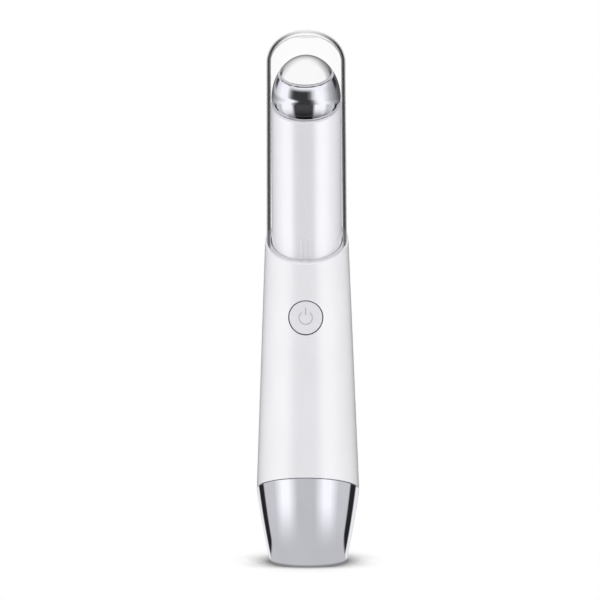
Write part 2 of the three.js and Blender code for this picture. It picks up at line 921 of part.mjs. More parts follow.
function switchBody() {
  const half = switchWidth / 2;
  const back = boardFront - closeGap;
  const body = solid(block(
    [-half, switchFront, buttonHeight - half],
    [half, back, buttonHeight + half],
  ));
  const wellRadius = plungerRadius + fitGap;
  const well = solid(barAlongY(
    wellRadius, switchFront - overrun, switchFront + plungerDepth + fitGap, 0, buttonHeight, smallSides,
  ));
  return mesh("switch_body", body.subtract(well), finish(0x2b2d31, 0.5, 0.1));
}

function switchPlunger() {
  const back = switchFront + plungerDepth - fitGap;
  const pin = barAlongY(plungerRadius, plungerTip, back, 0, buttonHeight, smallSides);
  return mesh("switch_plunger", pin, finish(0x1d1e22, 0.5, 0));
}

// A ring about the button's axis, between two places along Y
function buttonRing(inner, outer, front, back) {
  const ring = tube(inner, outer, -back, -front, innerSides);
  return ring.rotateX(Math.PI / 2).translate(0, 0, buttonHeight);
}

// Guide in which the button's flange slides
function buttonGuide() {
  const back = boardFront - closeGap;
  return mesh("button_guide", buttonRing(guideInner, guideOuter, guideFront, back), whitePlastic());
}

// Soft ring round the switch: it seals the button and helps it back
function buttonSeal() {
  const back = boardFront - closeGap;
  const ring = buttonRing(padInner, padOuter, back - padThickness, back);
  return mesh("button_seal", ring, rubber(0xd9dade));
}

// Button: a cup whose face follows the handle and is dished, with a flange and a stem
function powerButton() {
  const skirt = solid(barAlongY(buttonRadius, -beltRadius, buttonFlangeBack, 0, buttonHeight, innerSides));
  const flange = solid(barAlongY(
    buttonFlangeRadius, buttonFlangeFront, buttonFlangeBack, 0, buttonHeight, innerSides,
  ));
  const body = solid(turned([
    [0, shoulderHeight / 2],
    ...handleLine(shoulderHeight / 2, shoulderHeight, 0),
    [0, shoulderHeight],
  ], shellSides));
  const faceFront = -handleRadius(buttonHeight);
  const hollow = solid(barAlongY(
    buttonRadius - buttonSkirt,
    faceFront + buttonFace + dishDepth,
    buttonFlangeBack + overrun,
    0,
    buttonHeight,
    innerSides,
  ));
  const stem = solid(barAlongY(
    buttonStemRadius, faceFront + buttonFace, plungerTip, 0, buttonHeight, smallSides,
  ));
  const dish = new THREE.SphereGeometry(dishRadius, shellSides, innerSides);
  dish.translate(0, faceFront + dishDepth - dishRadius, buttonHeight);
  const cup = skirt.intersect(body).add(flange).subtract(hollow).subtract(solid(dish));
  return mesh("power_button", cup.add(stem), pearlWhite());
}

// Neck and the clear cap over it

function neckTube() {
  const flangeTop = neckLow + flangeThickness;
  const pipe = solid(turnedRing([
    [neckInner, neckLow],
    [flangeRadius, neckLow],
    [flangeRadius, flangeTop],
    [neckRadius, flangeTop],
    [neckRadius, neckTop],
    [neckInner, neckTop],
  ], shellSides));
  const front = shoulderHeight - (neckRadius + keyRibStand) * Math.tan(shoulderTilt);
  const ribs = [-1, 1].map((side) => {
    const middle = (side * keyRibSpacing) / 2;
    return solid(block(
      [middle - keyRibWidth / 2, -neckRadius - keyRibStand, front + fitGap],
      [middle + keyRibWidth / 2, -neckRadius + keyRibWidth, keyRibTop],
    ));
  });
  const ribbed = ribs.reduce((sum, rib) => sum.add(rib), pipe);
  return mesh("neck_tube", keepBelow(ribbed, collarHeight - seamGap, shoulderTilt), pearlWhite());
}

function clearCap() {
  const low = shoulderHeight - capFootRadius * Math.tan(shoulderTilt) - overrun;
  const innerTop = capTop - capCrown;
  const shell = solid(turned([
    [capInner, low],
    [capFootRadius, low],
    ...domeLine(capTopRadius, domeHeight, capTop, crownRadius),
    [0, capTop],
    [0, innerTop],
    ...domeLine(capTopRadius - capWall, domeHeight, innerTop, crownRadius).reverse(),
    [capInner, low],
  ], shellSides));
  const key = solid(block(
    [-capKeyWidth / 2, -capInner - closeGap, low],
    [capKeyWidth / 2, -neckRadius - closeGap, keyRibTop],
  ));
  return mesh("clear_cap", keepAbove(shell.add(key), shoulderHeight + seamGap, shoulderTilt), clearPlastic());
}

// Head: core, chrome collar with its bead, gasket, plate, heater and sensor

function headCollar() {
  const bead = keepAbove(headShell(beadInset, collarWall), collarHeight, shoulderTilt);
  const main = keepAbove(headShell(0, collarWall), collarHeight + beadHeight, shoulderTilt);
  const top = plateHeight - gasketThickness / 2 - closeGap;
  return mesh("head_collar", keepBelow(bead.add(main), top, seamTilt), chrome());
}

function plateGasket() {
  const half = gasketThickness / 2;
  const ring = keepAbove(headShell(gasketInset, gasketDepth), plateHeight - half, seamTilt);
  return mesh("plate_gasket", keepBelow(ring, plateHeight + half, seamTilt), rubber(0xe6e8ec));
}

function massagePlate() {
  const low = plateHeight + gasketThickness / 2 + closeGap;
  const dome = keepAbove(headShell(0, plateWall), low, seamTilt);
  return mesh("massage_plate", dome, chrome());
}

function headCore() {
  const spigot = solid(disc(cradleFootRadius, coreLow, neckTop, innerSides));
  const seated = keepBelow(spigot, collarHeight - closeGap, shoulderTilt);
  const filled = keepAbove(
    keepBelow(headBody(collarWall + fitGap), plateHeight - coreDrop, seamTilt),
    collarHeight - seamGap,
    shoulderTilt,
  );
  const hollow = solid(disc(coreHollowRadius, coreLow - overrun, coreHollowTop, innerSides));
  const passages = [-1, 1].map((side) => {
    const hole = disc(portRadius, coreLow, capTop, smallSides);
    return solid(hole.translate(side * heaterPortSide, coreLeadBack, 0));
  });
  const pocketLow = sensorLow() - fitGap;
  const well = disc(sensorRadius + fitGap, pocketLow, capTop, smallSides);
  const pocket = solid(well.translate(0, -sensorForward, 0));
  const whole = keepAbove(seated.add(filled), coreLow, 0);
  const cuts = [hollow, pocket, ...passages];
  return mesh("head_core", cuts.reduce((left, cut) => left.subtract(cut), whole), whitePlastic());
}

// Underside of the heater at a distance along Y from the axis
function heaterUnderside(y) {
  return plateHeight - coreDrop + fitGap + y * Math.tan(seamTilt);
}

function sensorLow() {
  const front = -sensorForward - sensorRadius;
  return heaterUnderside(front) - fitGap - sensorLength - 2 * sensorRadius;
}

function heaterDisc() {
  const plate = disc(heaterRadius, 0, heaterThickness, innerSides);
  const piece = mesh("heater_disc", plate, finish(0xd9d2c2, 0.6, 0));
  piece.position.z = heaterUnderside(0);
  piece.rotation.x = seamTilt;
  return piece;
}

function temperatureSensor() {
  const bead = new THREE.CapsuleGeometry(sensorRadius, sensorLength, edgeSteps, smallSides);
  const piece = mesh("temperature_sensor", bead, finish(0x1f2226, 0.4, 0));
  piece.position.set(0, -sensorForward, sensorLow() + sensorRadius + sensorLength / 2);
  piece.rotation.x = Math.PI / 2;
  return piece;
}

// Motor, its holder and the weight that it spins

function motorCradle() {
  const footTop = neckLow + cradleFootThickness;
  const cupLow = cradleFloorTop - cradleFloor;
  const columnInner = columnRadius - columnWall;
  const body = solid(turned([
    [columnInner, neckLow],
    [cradleFootRadius, neckLow],
    [cradleFootRadius, footTop],
    [columnRadius, footTop],
    [columnRadius, cupLow],
    [cradleRadius, cupLow],
    [cradleRadius, cradleTop],
    [cradleBore, cradleTop],
    [cradleBore, cradleFloorTop],
    [0, cradleFloorTop],
    [0, cupLow],
    [columnInner, cupLow],
    [columnInner, neckLow],
  ], innerSides));
  const fins = Array.from({ length: cradleFins }, (_, index) => cradleFin(index));
  const finned = fins.reduce((sum, fin) => sum.add(fin), body);
  const half = leadWindowWidth / 2;
  const window = solid(block(
    [-cradleRadius - overrun, -half, cradleFloorTop],
    [cradleRadius + overrun, half, cradleFloorTop + leadWindowHeight],
  ));
  const cuts = [window, ...leadPorts(neckLow - overrun, footTop + overrun)];
  return mesh("motor_cradle", cuts.reduce((left, cut) => left.subtract(cut), finned), whitePlastic());
}

// One fin that centres the cradle in the neck
function cradleFin(index) {
  const half = finThickness / 2;
  const inner = (cradleBore + cradleRadius) / 2;
  const fin = block([inner, -half, motorLow - finDrop], [cradleFootRadius, half, cradleTop - closeGap]);
  return solid(fin.rotateZ(finTurn + (index / cradleFins) * 360 * degrees));
}

function motorSleeve() {
  const inner = motorRadius + closeGap;
  return mesh(
    "motor_sleeve",
    tube(inner, inner + sleeveWall, motorLow + motorEdge, motorTop - sleeveDrop, innerSides),
    rubber(0x5a5d63),
  );
}

function motorCan() {
  const bore = shaftRadius + shaftClearance;
  const can = turned([
    [0, motorLow],
    [motorRadius, motorLow],
    [motorRadius, motorTop - motorEdge],
    [motorRadius - motorEdge, motorTop],
    [noseRadius, motorTop],
    [noseRadius, motorTop + noseHeight],
    [bore, motorTop + noseHeight],
    [bore, motorTop - shaftDepth],
    [0, motorTop - shaftDepth],
  ], innerSides);
  return mesh("motor_can", can, steel());
}

function motorEndCap() {
  const top = endCapLow + endCapThickness;
  return mesh("motor_end_cap", disc(endCapRadius, endCapLow, top, innerSides), finish(0xf0f0ee, 0.5, 0));
}

function motorShaft() {
  const low = motorTop - shaftDepth + shaftClearance;
  return mesh("motor_shaft", disc(shaftRadius, low, shaftTop, smallSides), steel());
}

// Half-round weight with a hub round the shaft
function eccentricWeight() {
  const outline = new THREE.Shape();
  outline.absarc(0, 0, weightRadius, 0, 180 * degrees, false);
  outline.absarc(0, 0, weightHub, 180 * degrees, 360 * degrees, false);
  outline.closePath();
  const bore = new THREE.Path();
  bore.absarc(0, 0, shaftRadius + shaftClearance, 0, 360 * degrees, true);
  outline.holes = [bore];
  const bar = new THREE.ExtrudeGeometry(outline, {
    depth: weightLength,
    bevelEnabled: false,
    curveSegments: leadSides,
  });
  return mesh("eccentric_weight", bar.translate(0, 0, weightLow), brass());
}

// Leads: round wires along smooth lines through hand-set points

function lead(name, points, color) {
  const line = new THREE.CatmullRomCurve3(points.map((point) => new THREE.Vector3(...point)));
  const wire = new THREE.ExtrudeGeometry(roundSection(leadRadius, leadSides), {
    steps: leadSteps,
    extrudePath: line,
  });
  return mesh(name, wire, rubber(color));
}

function motorLead(name, side, color) {
  const [portX, portY] = motorPort;
  const start = boardBack + fitGap;
  const end = (endCapLow + motorLow) / 2;
  return lead(name, [
    [side * (boardWindowWidth / 2 - portRadius), start, boardWindowHigh - 2 * portRadius],
    [side * (boardWindowWidth / 2 - portRadius), start + boardPlateThickness, boardWindowHigh - portRadius],
    [side * portX, portY, deckLow - portRadius],
    [side * portX, portY, neckLow + cradleFootThickness],
    [side * portX, portY, (neckLow + motorLow) / 2],
    [side * portX, portY, cradleFloorTop - leadRadius],
    [side * cradleRadius, portY, end - leadRadius],
    [side * (endCapRadius + fitGap), portY, end],
  ], color);
}

function heaterLead(name, side) {
  const [portX, portY] = heaterPort;
  const start = boardBack + fitGap;
  return lead(name, [
    [side * portX, start, boardWindowHigh - 2 * portRadius],
    [side * portX, start + boardPlateThickness, boardWindowHigh - portRadius],
    [side * portX, portY, deckLow - 2 * portRadius],
    [side * portX, portY, neckLow + cradleFootThickness],
    [side * portX, portY, motorLow],
    [side * portX, portY, weightLow],
    [side * portX, coreHollowRadius - portRadius, coreLow],
    [side * portX, coreLeadBack, coreHollowTop - 2 * portRadius],
    [side * portX, coreLeadBack, coreHollowTop + portRadius],
    [side * portX, coreLeadBack, heaterUnderside(coreLeadBack) - fitGap - leadRadius / 2],
  ], 0xe8e4da);
}

// The whole object as a tree of units

function unit(...pieces) {
  const group = new THREE.Group();
  group.add(...pieces);
  return group;
}

const baseUnit = unit(baseCover(), baseInsert(), baseSeal(), baseContact(), batterySpring());
const powerUnit = unit(battery(), positiveContact(), negativeStrip());
const frameUnit = unit(
  baseSocket(),
  chassis(),
  chassisScrew("chassis_screw_front", -1),
  chassisScrew("chassis_screw_back", 1),
);
const boardUnit = unit(
  circuitBoard(),
  boardScrew("board_screw_left", -1),
  boardScrew("board_screw_right", 1),
  boostCoil(),
  capacitor(),
  controlChip(),
  switchBody(),
  buttonGuide(),
  buttonSeal(),
);
const buttonUnit = unit(powerButton(), switchPlunger());
const rotorUnit = unit(motorShaft(), eccentricWeight());
const motorUnit = unit(motorCradle(), motorSleeve(), motorCan(), motorEndCap(), rotorUnit);
const leadUnit = unit(
  motorLead("motor_lead_red", 1, 0xb5322c),
  motorLead("motor_lead_black", -1, 0x26282c),
  heaterLead("heater_lead_left", -1),
  heaterLead("heater_lead_right", 1),
);
const headUnit = unit(
  headCore(),
  headCollar(),
  plateGasket(),
  massagePlate(),
  heaterDisc(),
  temperatureSensor(),
);
const handleUnit = unit(
  handleShell(),
  neckTube(),
  frameUnit,
  powerUnit,
  boardUnit,
  buttonUnit,
  motorUnit,
  leadUnit,
  headUnit,
);

console.log("battery spring's least gap to itself:", springGap().toFixed(2));

export default unit(handleUnit, baseUnit, clearCap());
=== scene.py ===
# %% [markdown]
# # A battery eye massager
#
# The object is a slim wand that stands on its base. A chrome cone carries a pearl white
# handle with a flush power button, and a clear cap covers a white neck whose head holds a
# warm massage plate in a chrome collar. The measured model is loaded first, because every
# piece made here has to lie where its solid lies. The outer pieces are then modelled
# again with more facets, rounded rims and finishes, and ride on the same bodies.

# %% Load the measured model
import json
import math

import bpy
from mathutils import Matrix, Vector


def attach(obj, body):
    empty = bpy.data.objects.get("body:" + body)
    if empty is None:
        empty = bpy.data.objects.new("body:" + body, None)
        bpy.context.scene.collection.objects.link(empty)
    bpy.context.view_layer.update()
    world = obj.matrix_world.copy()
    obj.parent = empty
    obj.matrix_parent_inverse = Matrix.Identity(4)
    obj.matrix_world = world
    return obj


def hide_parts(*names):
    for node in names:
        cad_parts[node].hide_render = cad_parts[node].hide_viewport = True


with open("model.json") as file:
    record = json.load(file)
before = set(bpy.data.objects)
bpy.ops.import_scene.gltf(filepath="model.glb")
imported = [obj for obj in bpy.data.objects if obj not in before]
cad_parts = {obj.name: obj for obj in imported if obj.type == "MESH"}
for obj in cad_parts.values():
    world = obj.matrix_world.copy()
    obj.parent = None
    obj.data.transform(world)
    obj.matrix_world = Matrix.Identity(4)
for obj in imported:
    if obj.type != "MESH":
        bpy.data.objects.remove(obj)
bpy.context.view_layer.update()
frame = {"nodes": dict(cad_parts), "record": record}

# %% [markdown]
# ## Sizes
#
# The sizes are written in millimetres, as a designer reads them off a drawing, and are
# turned into metres only where Blender is given a length. The body's outline is two
# functions of height: the base is a slightly full cone that opens up from its foot to its
# rim, and the handle is one straight taper from there to the shoulder. The rim is slanted,
# so a level outline isn't enough, and the base is leaned after it is turned.

# %% Sizes in millimetres
MM = 0.001
FOOT_RADIUS, CREASE_RADIUS, CREASE_HEIGHT = 9.8, 11.0, 1.6
BELT_RADIUS, CONE_BULGE = 14.3, 0.2
SHOULDER_RADIUS, SHOULDER_HEIGHT = 11.6, 91.0
SEAM_HEIGHT, SEAM_TILT = 20.6, math.radians(21)
SHOULDER_TILT = math.radians(24)
SEAM_GAP, FIT_GAP, CLOSE_GAP = 0.2, 0.3, 0.1
COVER_WALL, HANDLE_WALL, NECK_WALL, CAP_WALL = 1.2, 1.6, 1.2, 1.05
NECK_RADIUS, NECK_LOW, FLANGE_RADIUS, FLANGE_THICKNESS = 9.75, 80.1, 10.15, 1.8
TAPER = (BELT_RADIUS - SHOULDER_RADIUS) / (SHOULDER_HEIGHT - SEAM_HEIGHT)
RIM_HEIGHT = SEAM_HEIGHT - SEAM_GAP / 2
RIM_SHIFT = BELT_RADIUS * TAPER * math.tan(SEAM_TILT)
SIDES = 144


def handle_radius(height):
    """Radius of the handle: one straight taper from its seam to the shoulder."""
    return BELT_RADIUS - TAPER * (height - SEAM_HEIGHT)


def cone_radius(height):
    """Radius of the base's cone, before it is leaned, from its crease to its rim."""
    share = (height - CREASE_HEIGHT) / (RIM_HEIGHT - CREASE_HEIGHT)
    bulge = CONE_BULGE * 4 * share * (1 - share)
    return CREASE_RADIUS + (BELT_RADIUS - CREASE_RADIUS) * share + bulge


def outline(radius_at, low, high, step, depth=0.0):
    """Outline points between two heights, drawn in by a depth."""
    count = max(1, round(abs(high - low) / step))
    heights = [low + (high - low) * index / count for index in range(count + 1)]
    return [(radius_at(height) - depth, height) for height in heights]


print("handle radius at seam and shoulder:", handle_radius(SEAM_HEIGHT),
      handle_radius(SHOULDER_HEIGHT))

# %% [markdown]
# ## Modelling tools
#
# Nearly every piece is turned about the Z axis, so one helper works like a lathe: it adds
# a ring at the first point of an outline, then extrudes and scales the ring from point to
# point. The spin operator could do the same, but rings keep their facets even, and a pole
# is just a ring scaled to nothing. A second helper saws a piece along a slanted plane and
# bridges the two rims that the saw leaves. The slanted seams of this object all come from
# that cut, as they do on the real moulds.

# %% Select one piece, and go into edit mode
MERGE_DISTANCE = 0.002


def select_only(piece):
    """Leaves edit mode and selects one piece, or nothing when given None."""
    if bpy.context.object and bpy.context.object.mode != "OBJECT":
        bpy.ops.object.mode_set(mode="OBJECT")
    bpy.ops.object.select_all(action="DESELECT")
    if piece:
        bpy.context.view_layer.objects.active = piece
        piece.select_set(True)


def start_edit(piece, select="SELECT"):
    """Goes into edit mode on one piece, with all or none of it selected."""
    select_only(piece)
    bpy.ops.object.mode_set(mode="EDIT")
    bpy.ops.mesh.select_mode(type="VERT")
    bpy.ops.mesh.select_all(action=select)


def clean(piece):
    """Merges doubles, turns every face outwards and deletes loose edges."""
    start_edit(piece)
    bpy.ops.mesh.remove_doubles(threshold=MERGE_DISTANCE * MM)
    bpy.ops.mesh.normals_make_consistent(inside=False)
    bpy.ops.mesh.delete_loose()
    bpy.ops.object.mode_set(mode="OBJECT")
    return piece


# %% Turn an outline of (radius, height) points into a closed piece
def extrude_ring(start, end):
    """Extrudes the selected ring from one outline point to the next."""
    lift = (0, 0, (end[1] - start[1]) * MM)
    bpy.ops.mesh.extrude_region_move(TRANSFORM_OT_translate={"value": lift})
    scale = end[0] / start[0]
    bpy.ops.transform.resize(value=(scale, scale, 1), center_override=(0, 0, end[1] * MM))


def turned(name, profile, sides=SIDES):
    """A piece turned about the Z axis. A profile that starts or ends at radius zero
    closes in a pole, and one that comes back to its start closes on itself."""
    pole = profile[0] if profile[0][0] == 0 else None
    points = profile[1:] if pole else profile
    select_only(None)
    bpy.ops.mesh.primitive_circle_add(
        vertices=sides, radius=points[0][0] * MM, location=(0, 0, points[0][1] * MM))
    piece = bpy.context.object
    piece.name = piece.data.name = name
    bpy.ops.object.transform_apply(location=True, rotation=True, scale=True)
    start_edit(piece)
    for start, end in zip(points, points[1:]):
        extrude_ring(start, end)
    if pole:
        bpy.ops.object.mode_set(mode="OBJECT")
        for vertex in piece.data.vertices:
            vertex.select = vertex.index < sides
        bpy.ops.object.mode_set(mode="EDIT")
        extrude_ring(points[0], pole)
    return clean(piece)


# %% Saw along a slanted plane
def sawn(piece, height, tilt=0.0, keep="above"):
    """Cuts a hollow piece by a plane that crosses the axis at a height and rises towards
    the back by a tilt, keeps one side, and bridges the rims of the cut."""
    normal = (0, -math.sin(tilt), math.cos(tilt))
    start_edit(piece)
    bpy.ops.mesh.bisect(
        plane_co=(0, 0, height * MM), plane_no=normal,
        clear_inner=keep == "above", clear_outer=keep == "below")
    bpy.ops.mesh.select_all(action="DESELECT")
    bpy.ops.mesh.select_non_manifold()
    bpy.ops.mesh.bridge_edge_loops()
    return clean(piece)


# %% Round edges, cut by a tool, ride on a body
def rounded(piece, width, segments=2, angle=32):
    """Rounds every edge sharper than an angle, and shades the piece smooth."""
    select_only(piece)
    bpy.ops.object.shade_smooth_by_angle(angle=math.radians(angle))
    bevel = piece.modifiers.new("round", "BEVEL")
    bevel.width = width * MM
    bevel.segments = segments
    bevel.limit_method = "ANGLE"
    bevel.angle_limit = math.radians(angle)
    bevel.harden_normals = True
    bevel.use_clamp_overlap = True
    bpy.ops.object.modifier_apply(modifier=bevel.name)
    return piece


def cut_by(piece, tool, operation="DIFFERENCE"):
    """Joins, cuts or trims a piece by a tool, and removes the tool."""
    select_only(piece)
    boolean = piece.modifiers.new("shape", "BOOLEAN")
    boolean.operation = operation
    boolean.solver = "EXACT"
    boolean.object = tool
    bpy.ops.object.modifier_apply(modifier=boolean.name)
    bpy.data.objects.remove(tool)
    return piece


def placed(piece, body, slot, *nodes):
    """Lets a piece ride on a body and stand for its CAD nodes."""
    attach(piece, body)
    if nodes:
        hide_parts(*nodes)
    print(f"{piece.name}: {len(piece.data.polygons)} faces on {body}")
    return piece


# %% [markdown]
# ## Base cover
#
# The cover is a moulded and plated cup. Its foot is a small quarter round, so that the
# plating wraps under it, and its wall widens up to a slanted rim that stands highest at
# the front. Sawing a level cone would leave its widest ring halfway up the front, so the
# cup is turned level and then leaned by a lattice, a cage of eight points: its lower four
# stay, and its upper four move on to the seam's slant. It is one closed wall, outside and
# inside, because the cover pulls off and its inside then shows.

# %% Base cover
FOOT_STEPS = 7
COVER_FLOOR = 1.6


def foot_round():
    """Quarter round from the foot's flat face to the crease where the cone starts."""
    turns = [0.5 * math.pi * index / FOOT_STEPS for index in range(FOOT_STEPS)]
    width = CREASE_RADIUS - FOOT_RADIUS
    return [(FOOT_RADIUS + width * math.sin(turn), CREASE_HEIGHT * (1 - math.cos(turn)))
            for turn in turns]


def leaned(piece, low, high, shift, tilt):
    """Leans a piece from level at one height to a tilt, and a shift back, at another."""
    select_only(None)
    reach = 2 * BELT_RADIUS
    bpy.ops.object.add(type="LATTICE", location=(0, 0, (low + high) / 2 * MM))
    cage = bpy.context.object
    cage.scale = (reach * MM, reach * MM, (high - low) * MM)
    points = cage.data
    for axis in "uvw":
        setattr(points, f"interpolation_type_{axis}", "KEY_LINEAR")
    for point in points.points:
        if point.co.z > 0:
            drop = (point.co.y * reach + shift) * math.tan(tilt)
            point.co_deform = point.co + Vector((0, shift / reach, -drop / (high - low)))
    lean = piece.modifiers.new("lean", "LATTICE")
    lean.object = cage
    select_only(piece)
    bpy.ops.object.modifier_apply(modifier=lean.name)
    bpy.data.objects.remove(cage)
    return piece


cover = turned("chrome_base", [
    (0, 0),
    *foot_round(),
    *outline(cone_radius, CREASE_HEIGHT, RIM_HEIGHT, 1.0),
    *outline(cone_radius, RIM_HEIGHT, COVER_FLOOR, 2.0, COVER_WALL),
    (0, COVER_FLOOR),
])
leaned(cover, COVER_FLOOR, RIM_HEIGHT, RIM_SHIFT, SEAM_TILT)
rounded(cover, width=0.12)
placed(cover, "base", "chrome_plating", "base_cover")

# %% [markdown]
# ## Handle
#
# The handle is a tapered shell, open below, sawn along the base's slanted seam and along
# the shoulder, which is lowest at the front. Its button hole is cut by a boolean, since a
# round hole through a curved wall is just that on the real mould. Rings lie close together
# around the button, so that the hole's edge doesn't disturb the gloss.

# %% Handle
SHELL_LOW, SHELL_TOP = 13.5, 97.2
CLOSE_RINGS_LOW, CLOSE_RINGS_HIGH = 63.0, 79.0
STEP_HEIGHT = NECK_LOW + FLANGE_THICKNESS + FIT_GAP
NECK_BORE = NECK_RADIUS + SEAM_GAP
BUTTON_HEIGHT, BUTTON_RADIUS = 70.8, 4.6
HOLE_RADIUS, DRILL_LENGTH = BUTTON_RADIUS + FIT_GAP, 20


def bar_along_y(name, radius, front, back, height, sides=96):
    """A plain round bar along Y, used to drill and to trim."""
    select_only(None)
    bpy.ops.mesh.primitive_cylinder_add(
        vertices=sides, radius=radius * MM, depth=(back - front) * MM,
        location=(0, (front + back) / 2 * MM, height * MM), rotation=(math.pi / 2, 0, 0))
    bar = bpy.context.object
    bar.name = name
    bpy.ops.object.transform_apply(location=True, rotation=True, scale=True)
    return bar


handle = turned("pearl_handle", [
    *outline(handle_radius, SHELL_LOW, CLOSE_RINGS_LOW - 1, 3.0),
    *outline(handle_radius, CLOSE_RINGS_LOW, CLOSE_RINGS_HIGH, 1.0),
    *outline(handle_radius, CLOSE_RINGS_HIGH + 3, SHELL_TOP, 2.5),
    (NECK_BORE, SHELL_TOP),
    (NECK_BORE, STEP_HEIGHT),
    *outline(handle_radius, STEP_HEIGHT, SHELL_LOW, 6.0, HANDLE_WALL),
    (handle_radius(SHELL_LOW), SHELL_LOW),
])
sawn(handle, SEAM_HEIGHT + SEAM_GAP / 2, -SEAM_TILT, "above")
sawn(handle, SHOULDER_HEIGHT, SHOULDER_TILT, "below")
rounded(handle, width=0.28, segments=3)
cut_by(handle, bar_along_y("drill", HOLE_RADIUS, -DRILL_LENGTH, 0, BUTTON_HEIGHT))
select_only(handle)
bpy.ops.object.shade_smooth_by_angle(angle=math.radians(40))
placed(handle, "handle", "pearl_white", "handle_shell")

# %% [markdown]
# ## Neck
#
# The neck is a plain white pipe with a flange that the handle holds. Two small ribs at
# its front stand on both sides of a key inside the cap, so the cap can't turn. The ribs
# are blocks with rounded edges, fused to the pipe.

# %% Neck
COLLAR_HEIGHT = 129.4
SAW_SPARE = 1
NECK_TOP = COLLAR_HEIGHT + NECK_RADIUS * math.tan(SHOULDER_TILT) + SAW_SPARE
NECK_RINGS, NECK_INNER_RING = (85, 90, 100, 110, 120, 126, 130), 125
KEY_RIB_WIDTH, KEY_RIB_SPACING, KEY_RIB_STAND, KEY_RIB_TOP = 0.5, 2.6, 0.2, 92.4


def block(name, low, high):
    """A block between two corners, used to build up or to trim."""
    select_only(None)
    middle = [(a + b) / 2 * MM for a, b in zip(low, high)]
    bpy.ops.mesh.primitive_cube_add(size=1, location=middle)
    piece = bpy.context.object
    piece.name = name
    piece.scale = [(b - a) * MM for a, b in zip(low, high)]
    bpy.ops.object.transform_apply(location=True, rotation=True, scale=True)
    return piece


NECK_INNER = NECK_RADIUS - NECK_WALL
FLANGE_TOP = NECK_LOW + FLANGE_THICKNESS
neck = turned("white_neck", [
    (NECK_INNER, NECK_LOW),
    (FLANGE_RADIUS, NECK_LOW),
    (FLANGE_RADIUS, FLANGE_TOP),
    (NECK_RADIUS, FLANGE_TOP),
    *[(NECK_RADIUS, height) for height in (*NECK_RINGS, NECK_TOP)],
    *[(NECK_INNER, height) for height in (NECK_TOP, NECK_INNER_RING, NECK_LOW)],
])
sawn(neck, COLLAR_HEIGHT - SEAM_GAP, SHOULDER_TILT, "below")
RIB_LOW = SHOULDER_HEIGHT - (NECK_RADIUS + KEY_RIB_STAND) * math.tan(SHOULDER_TILT) + FIT_GAP
for side in (-1, 1):
    middle = side * KEY_RIB_SPACING / 2
    rib = block("rib", (middle - KEY_RIB_WIDTH / 2, -NECK_RADIUS - KEY_RIB_STAND, RIB_LOW),
                (middle + KEY_RIB_WIDTH / 2, -NECK_RADIUS + KEY_RIB_WIDTH, KEY_RIB_TOP))
    cut_by(neck, rib, "UNION")
rounded(neck, width=0.06)
placed(neck, "handle", "pearl_white", "neck_tube")

# %% [markdown]
# ## Clear cap
#
# The cap is one clear moulding of even wall. The eye sees both of its faces, so the wall
# has to be real: an outer and an inner dome, a crown that is flat in the middle, and a
# slanted rim that stands on the shoulder. A key inside the rim fits between the neck's
# two ribs. A thin clear wall casts next to no shadow, so the cap is left out for the
# rays that look for shadows and for matt light.

# %% Clear cap
CAP_INNER, CAP_FOOT, CAP_TOP_RADIUS = 10.25, 11.3, 11.05
DOME_HEIGHT, CAP_TOP, CAP_CROWN, CROWN_RADIUS = 140.6, 149.5, 1.7, 3.6
DOME_STEPS = 20
CAP_LOW = SHOULDER_HEIGHT - CAP_FOOT * math.tan(SHOULDER_TILT) - SAW_SPARE


def dome_line(radius, low, top, crown):
    """Elliptical dome from its springing up to where its flat crown starts."""
    last = math.acos(crown / radius)
    rise = (top - low) / math.sin(last)
    turns = [last * index / DOME_STEPS for index in range(DOME_STEPS + 1)]
    return [(radius * math.cos(turn), low + rise * math.sin(turn)) for turn in turns]


INNER_TOP = CAP_TOP - CAP_CROWN
OUTER_DOME = dome_line(CAP_TOP_RADIUS, DOME_HEIGHT, CAP_TOP, CROWN_RADIUS)
INNER_DOME = dome_line(CAP_TOP_RADIUS - CAP_WALL, DOME_HEIGHT, INNER_TOP, CROWN_RADIUS)
cap = turned("clear_cap_shell", [
    (0, CAP_TOP),
    (CROWN_RADIUS / 2, CAP_TOP),
    *OUTER_DOME[::-1],
    (CAP_FOOT, CAP_LOW),
    (CAP_INNER, CAP_LOW),
    *INNER_DOME,
    (CROWN_RADIUS / 2, INNER_TOP),
    (0, INNER_TOP),
])
sawn(cap, SHOULDER_HEIGHT + SEAM_GAP, SHOULDER_TILT, "above")
CAP_KEY_WIDTH = 1.4
KEY_FRONT, KEY_BACK = -CAP_INNER - CLOSE_GAP, -NECK_RADIUS - CLOSE_GAP
KEY_LOW = SHOULDER_HEIGHT + SEAM_GAP + KEY_FRONT * math.tan(SHOULDER_TILT) + 2 * FIT_GAP
key = block("key", (-CAP_KEY_WIDTH / 2, KEY_FRONT, KEY_LOW),
            (CAP_KEY_WIDTH / 2, KEY_BACK, KEY_RIB_TOP))
cut_by(cap, key, "UNION")
rounded(cap, width=0.1, angle=50)
cap.visible_shadow = cap.visible_diffuse = False
placed(cap, "cap", "clear_plastic", "clear_cap")

# %% [markdown]
# ## Head
#
# Collar, gasket and plate share one egg-shaped outline, and slanted cuts part them: the
# collar's lower rim is parallel to the shoulder, and the plate leans forwards. The collar
# ends below in a thin bead, a step narrower, that sits on the neck. Joining the two leaves
# slivers, which are merged before the edges are rounded.

# %% Head outline
HEAD_RADIUS, HEAD_HEIGHT, HEAD_RISE = 9.65, 130.5, 12.3
HEAD_LOW_TURN = math.radians(-45)
HEAD_STEPS = 36
BEAD_HEIGHT, BEAD_INSET, COLLAR_WALL, PLATE_WALL = 1.5, 0.35, 0.9, 1.0
PLATE_HEIGHT, GASKET_THICKNESS, GASKET_INSET, GASKET_DEPTH = 138.6, 0.5, 0.15, 1.9
BEAD_TOP_DROP = 3


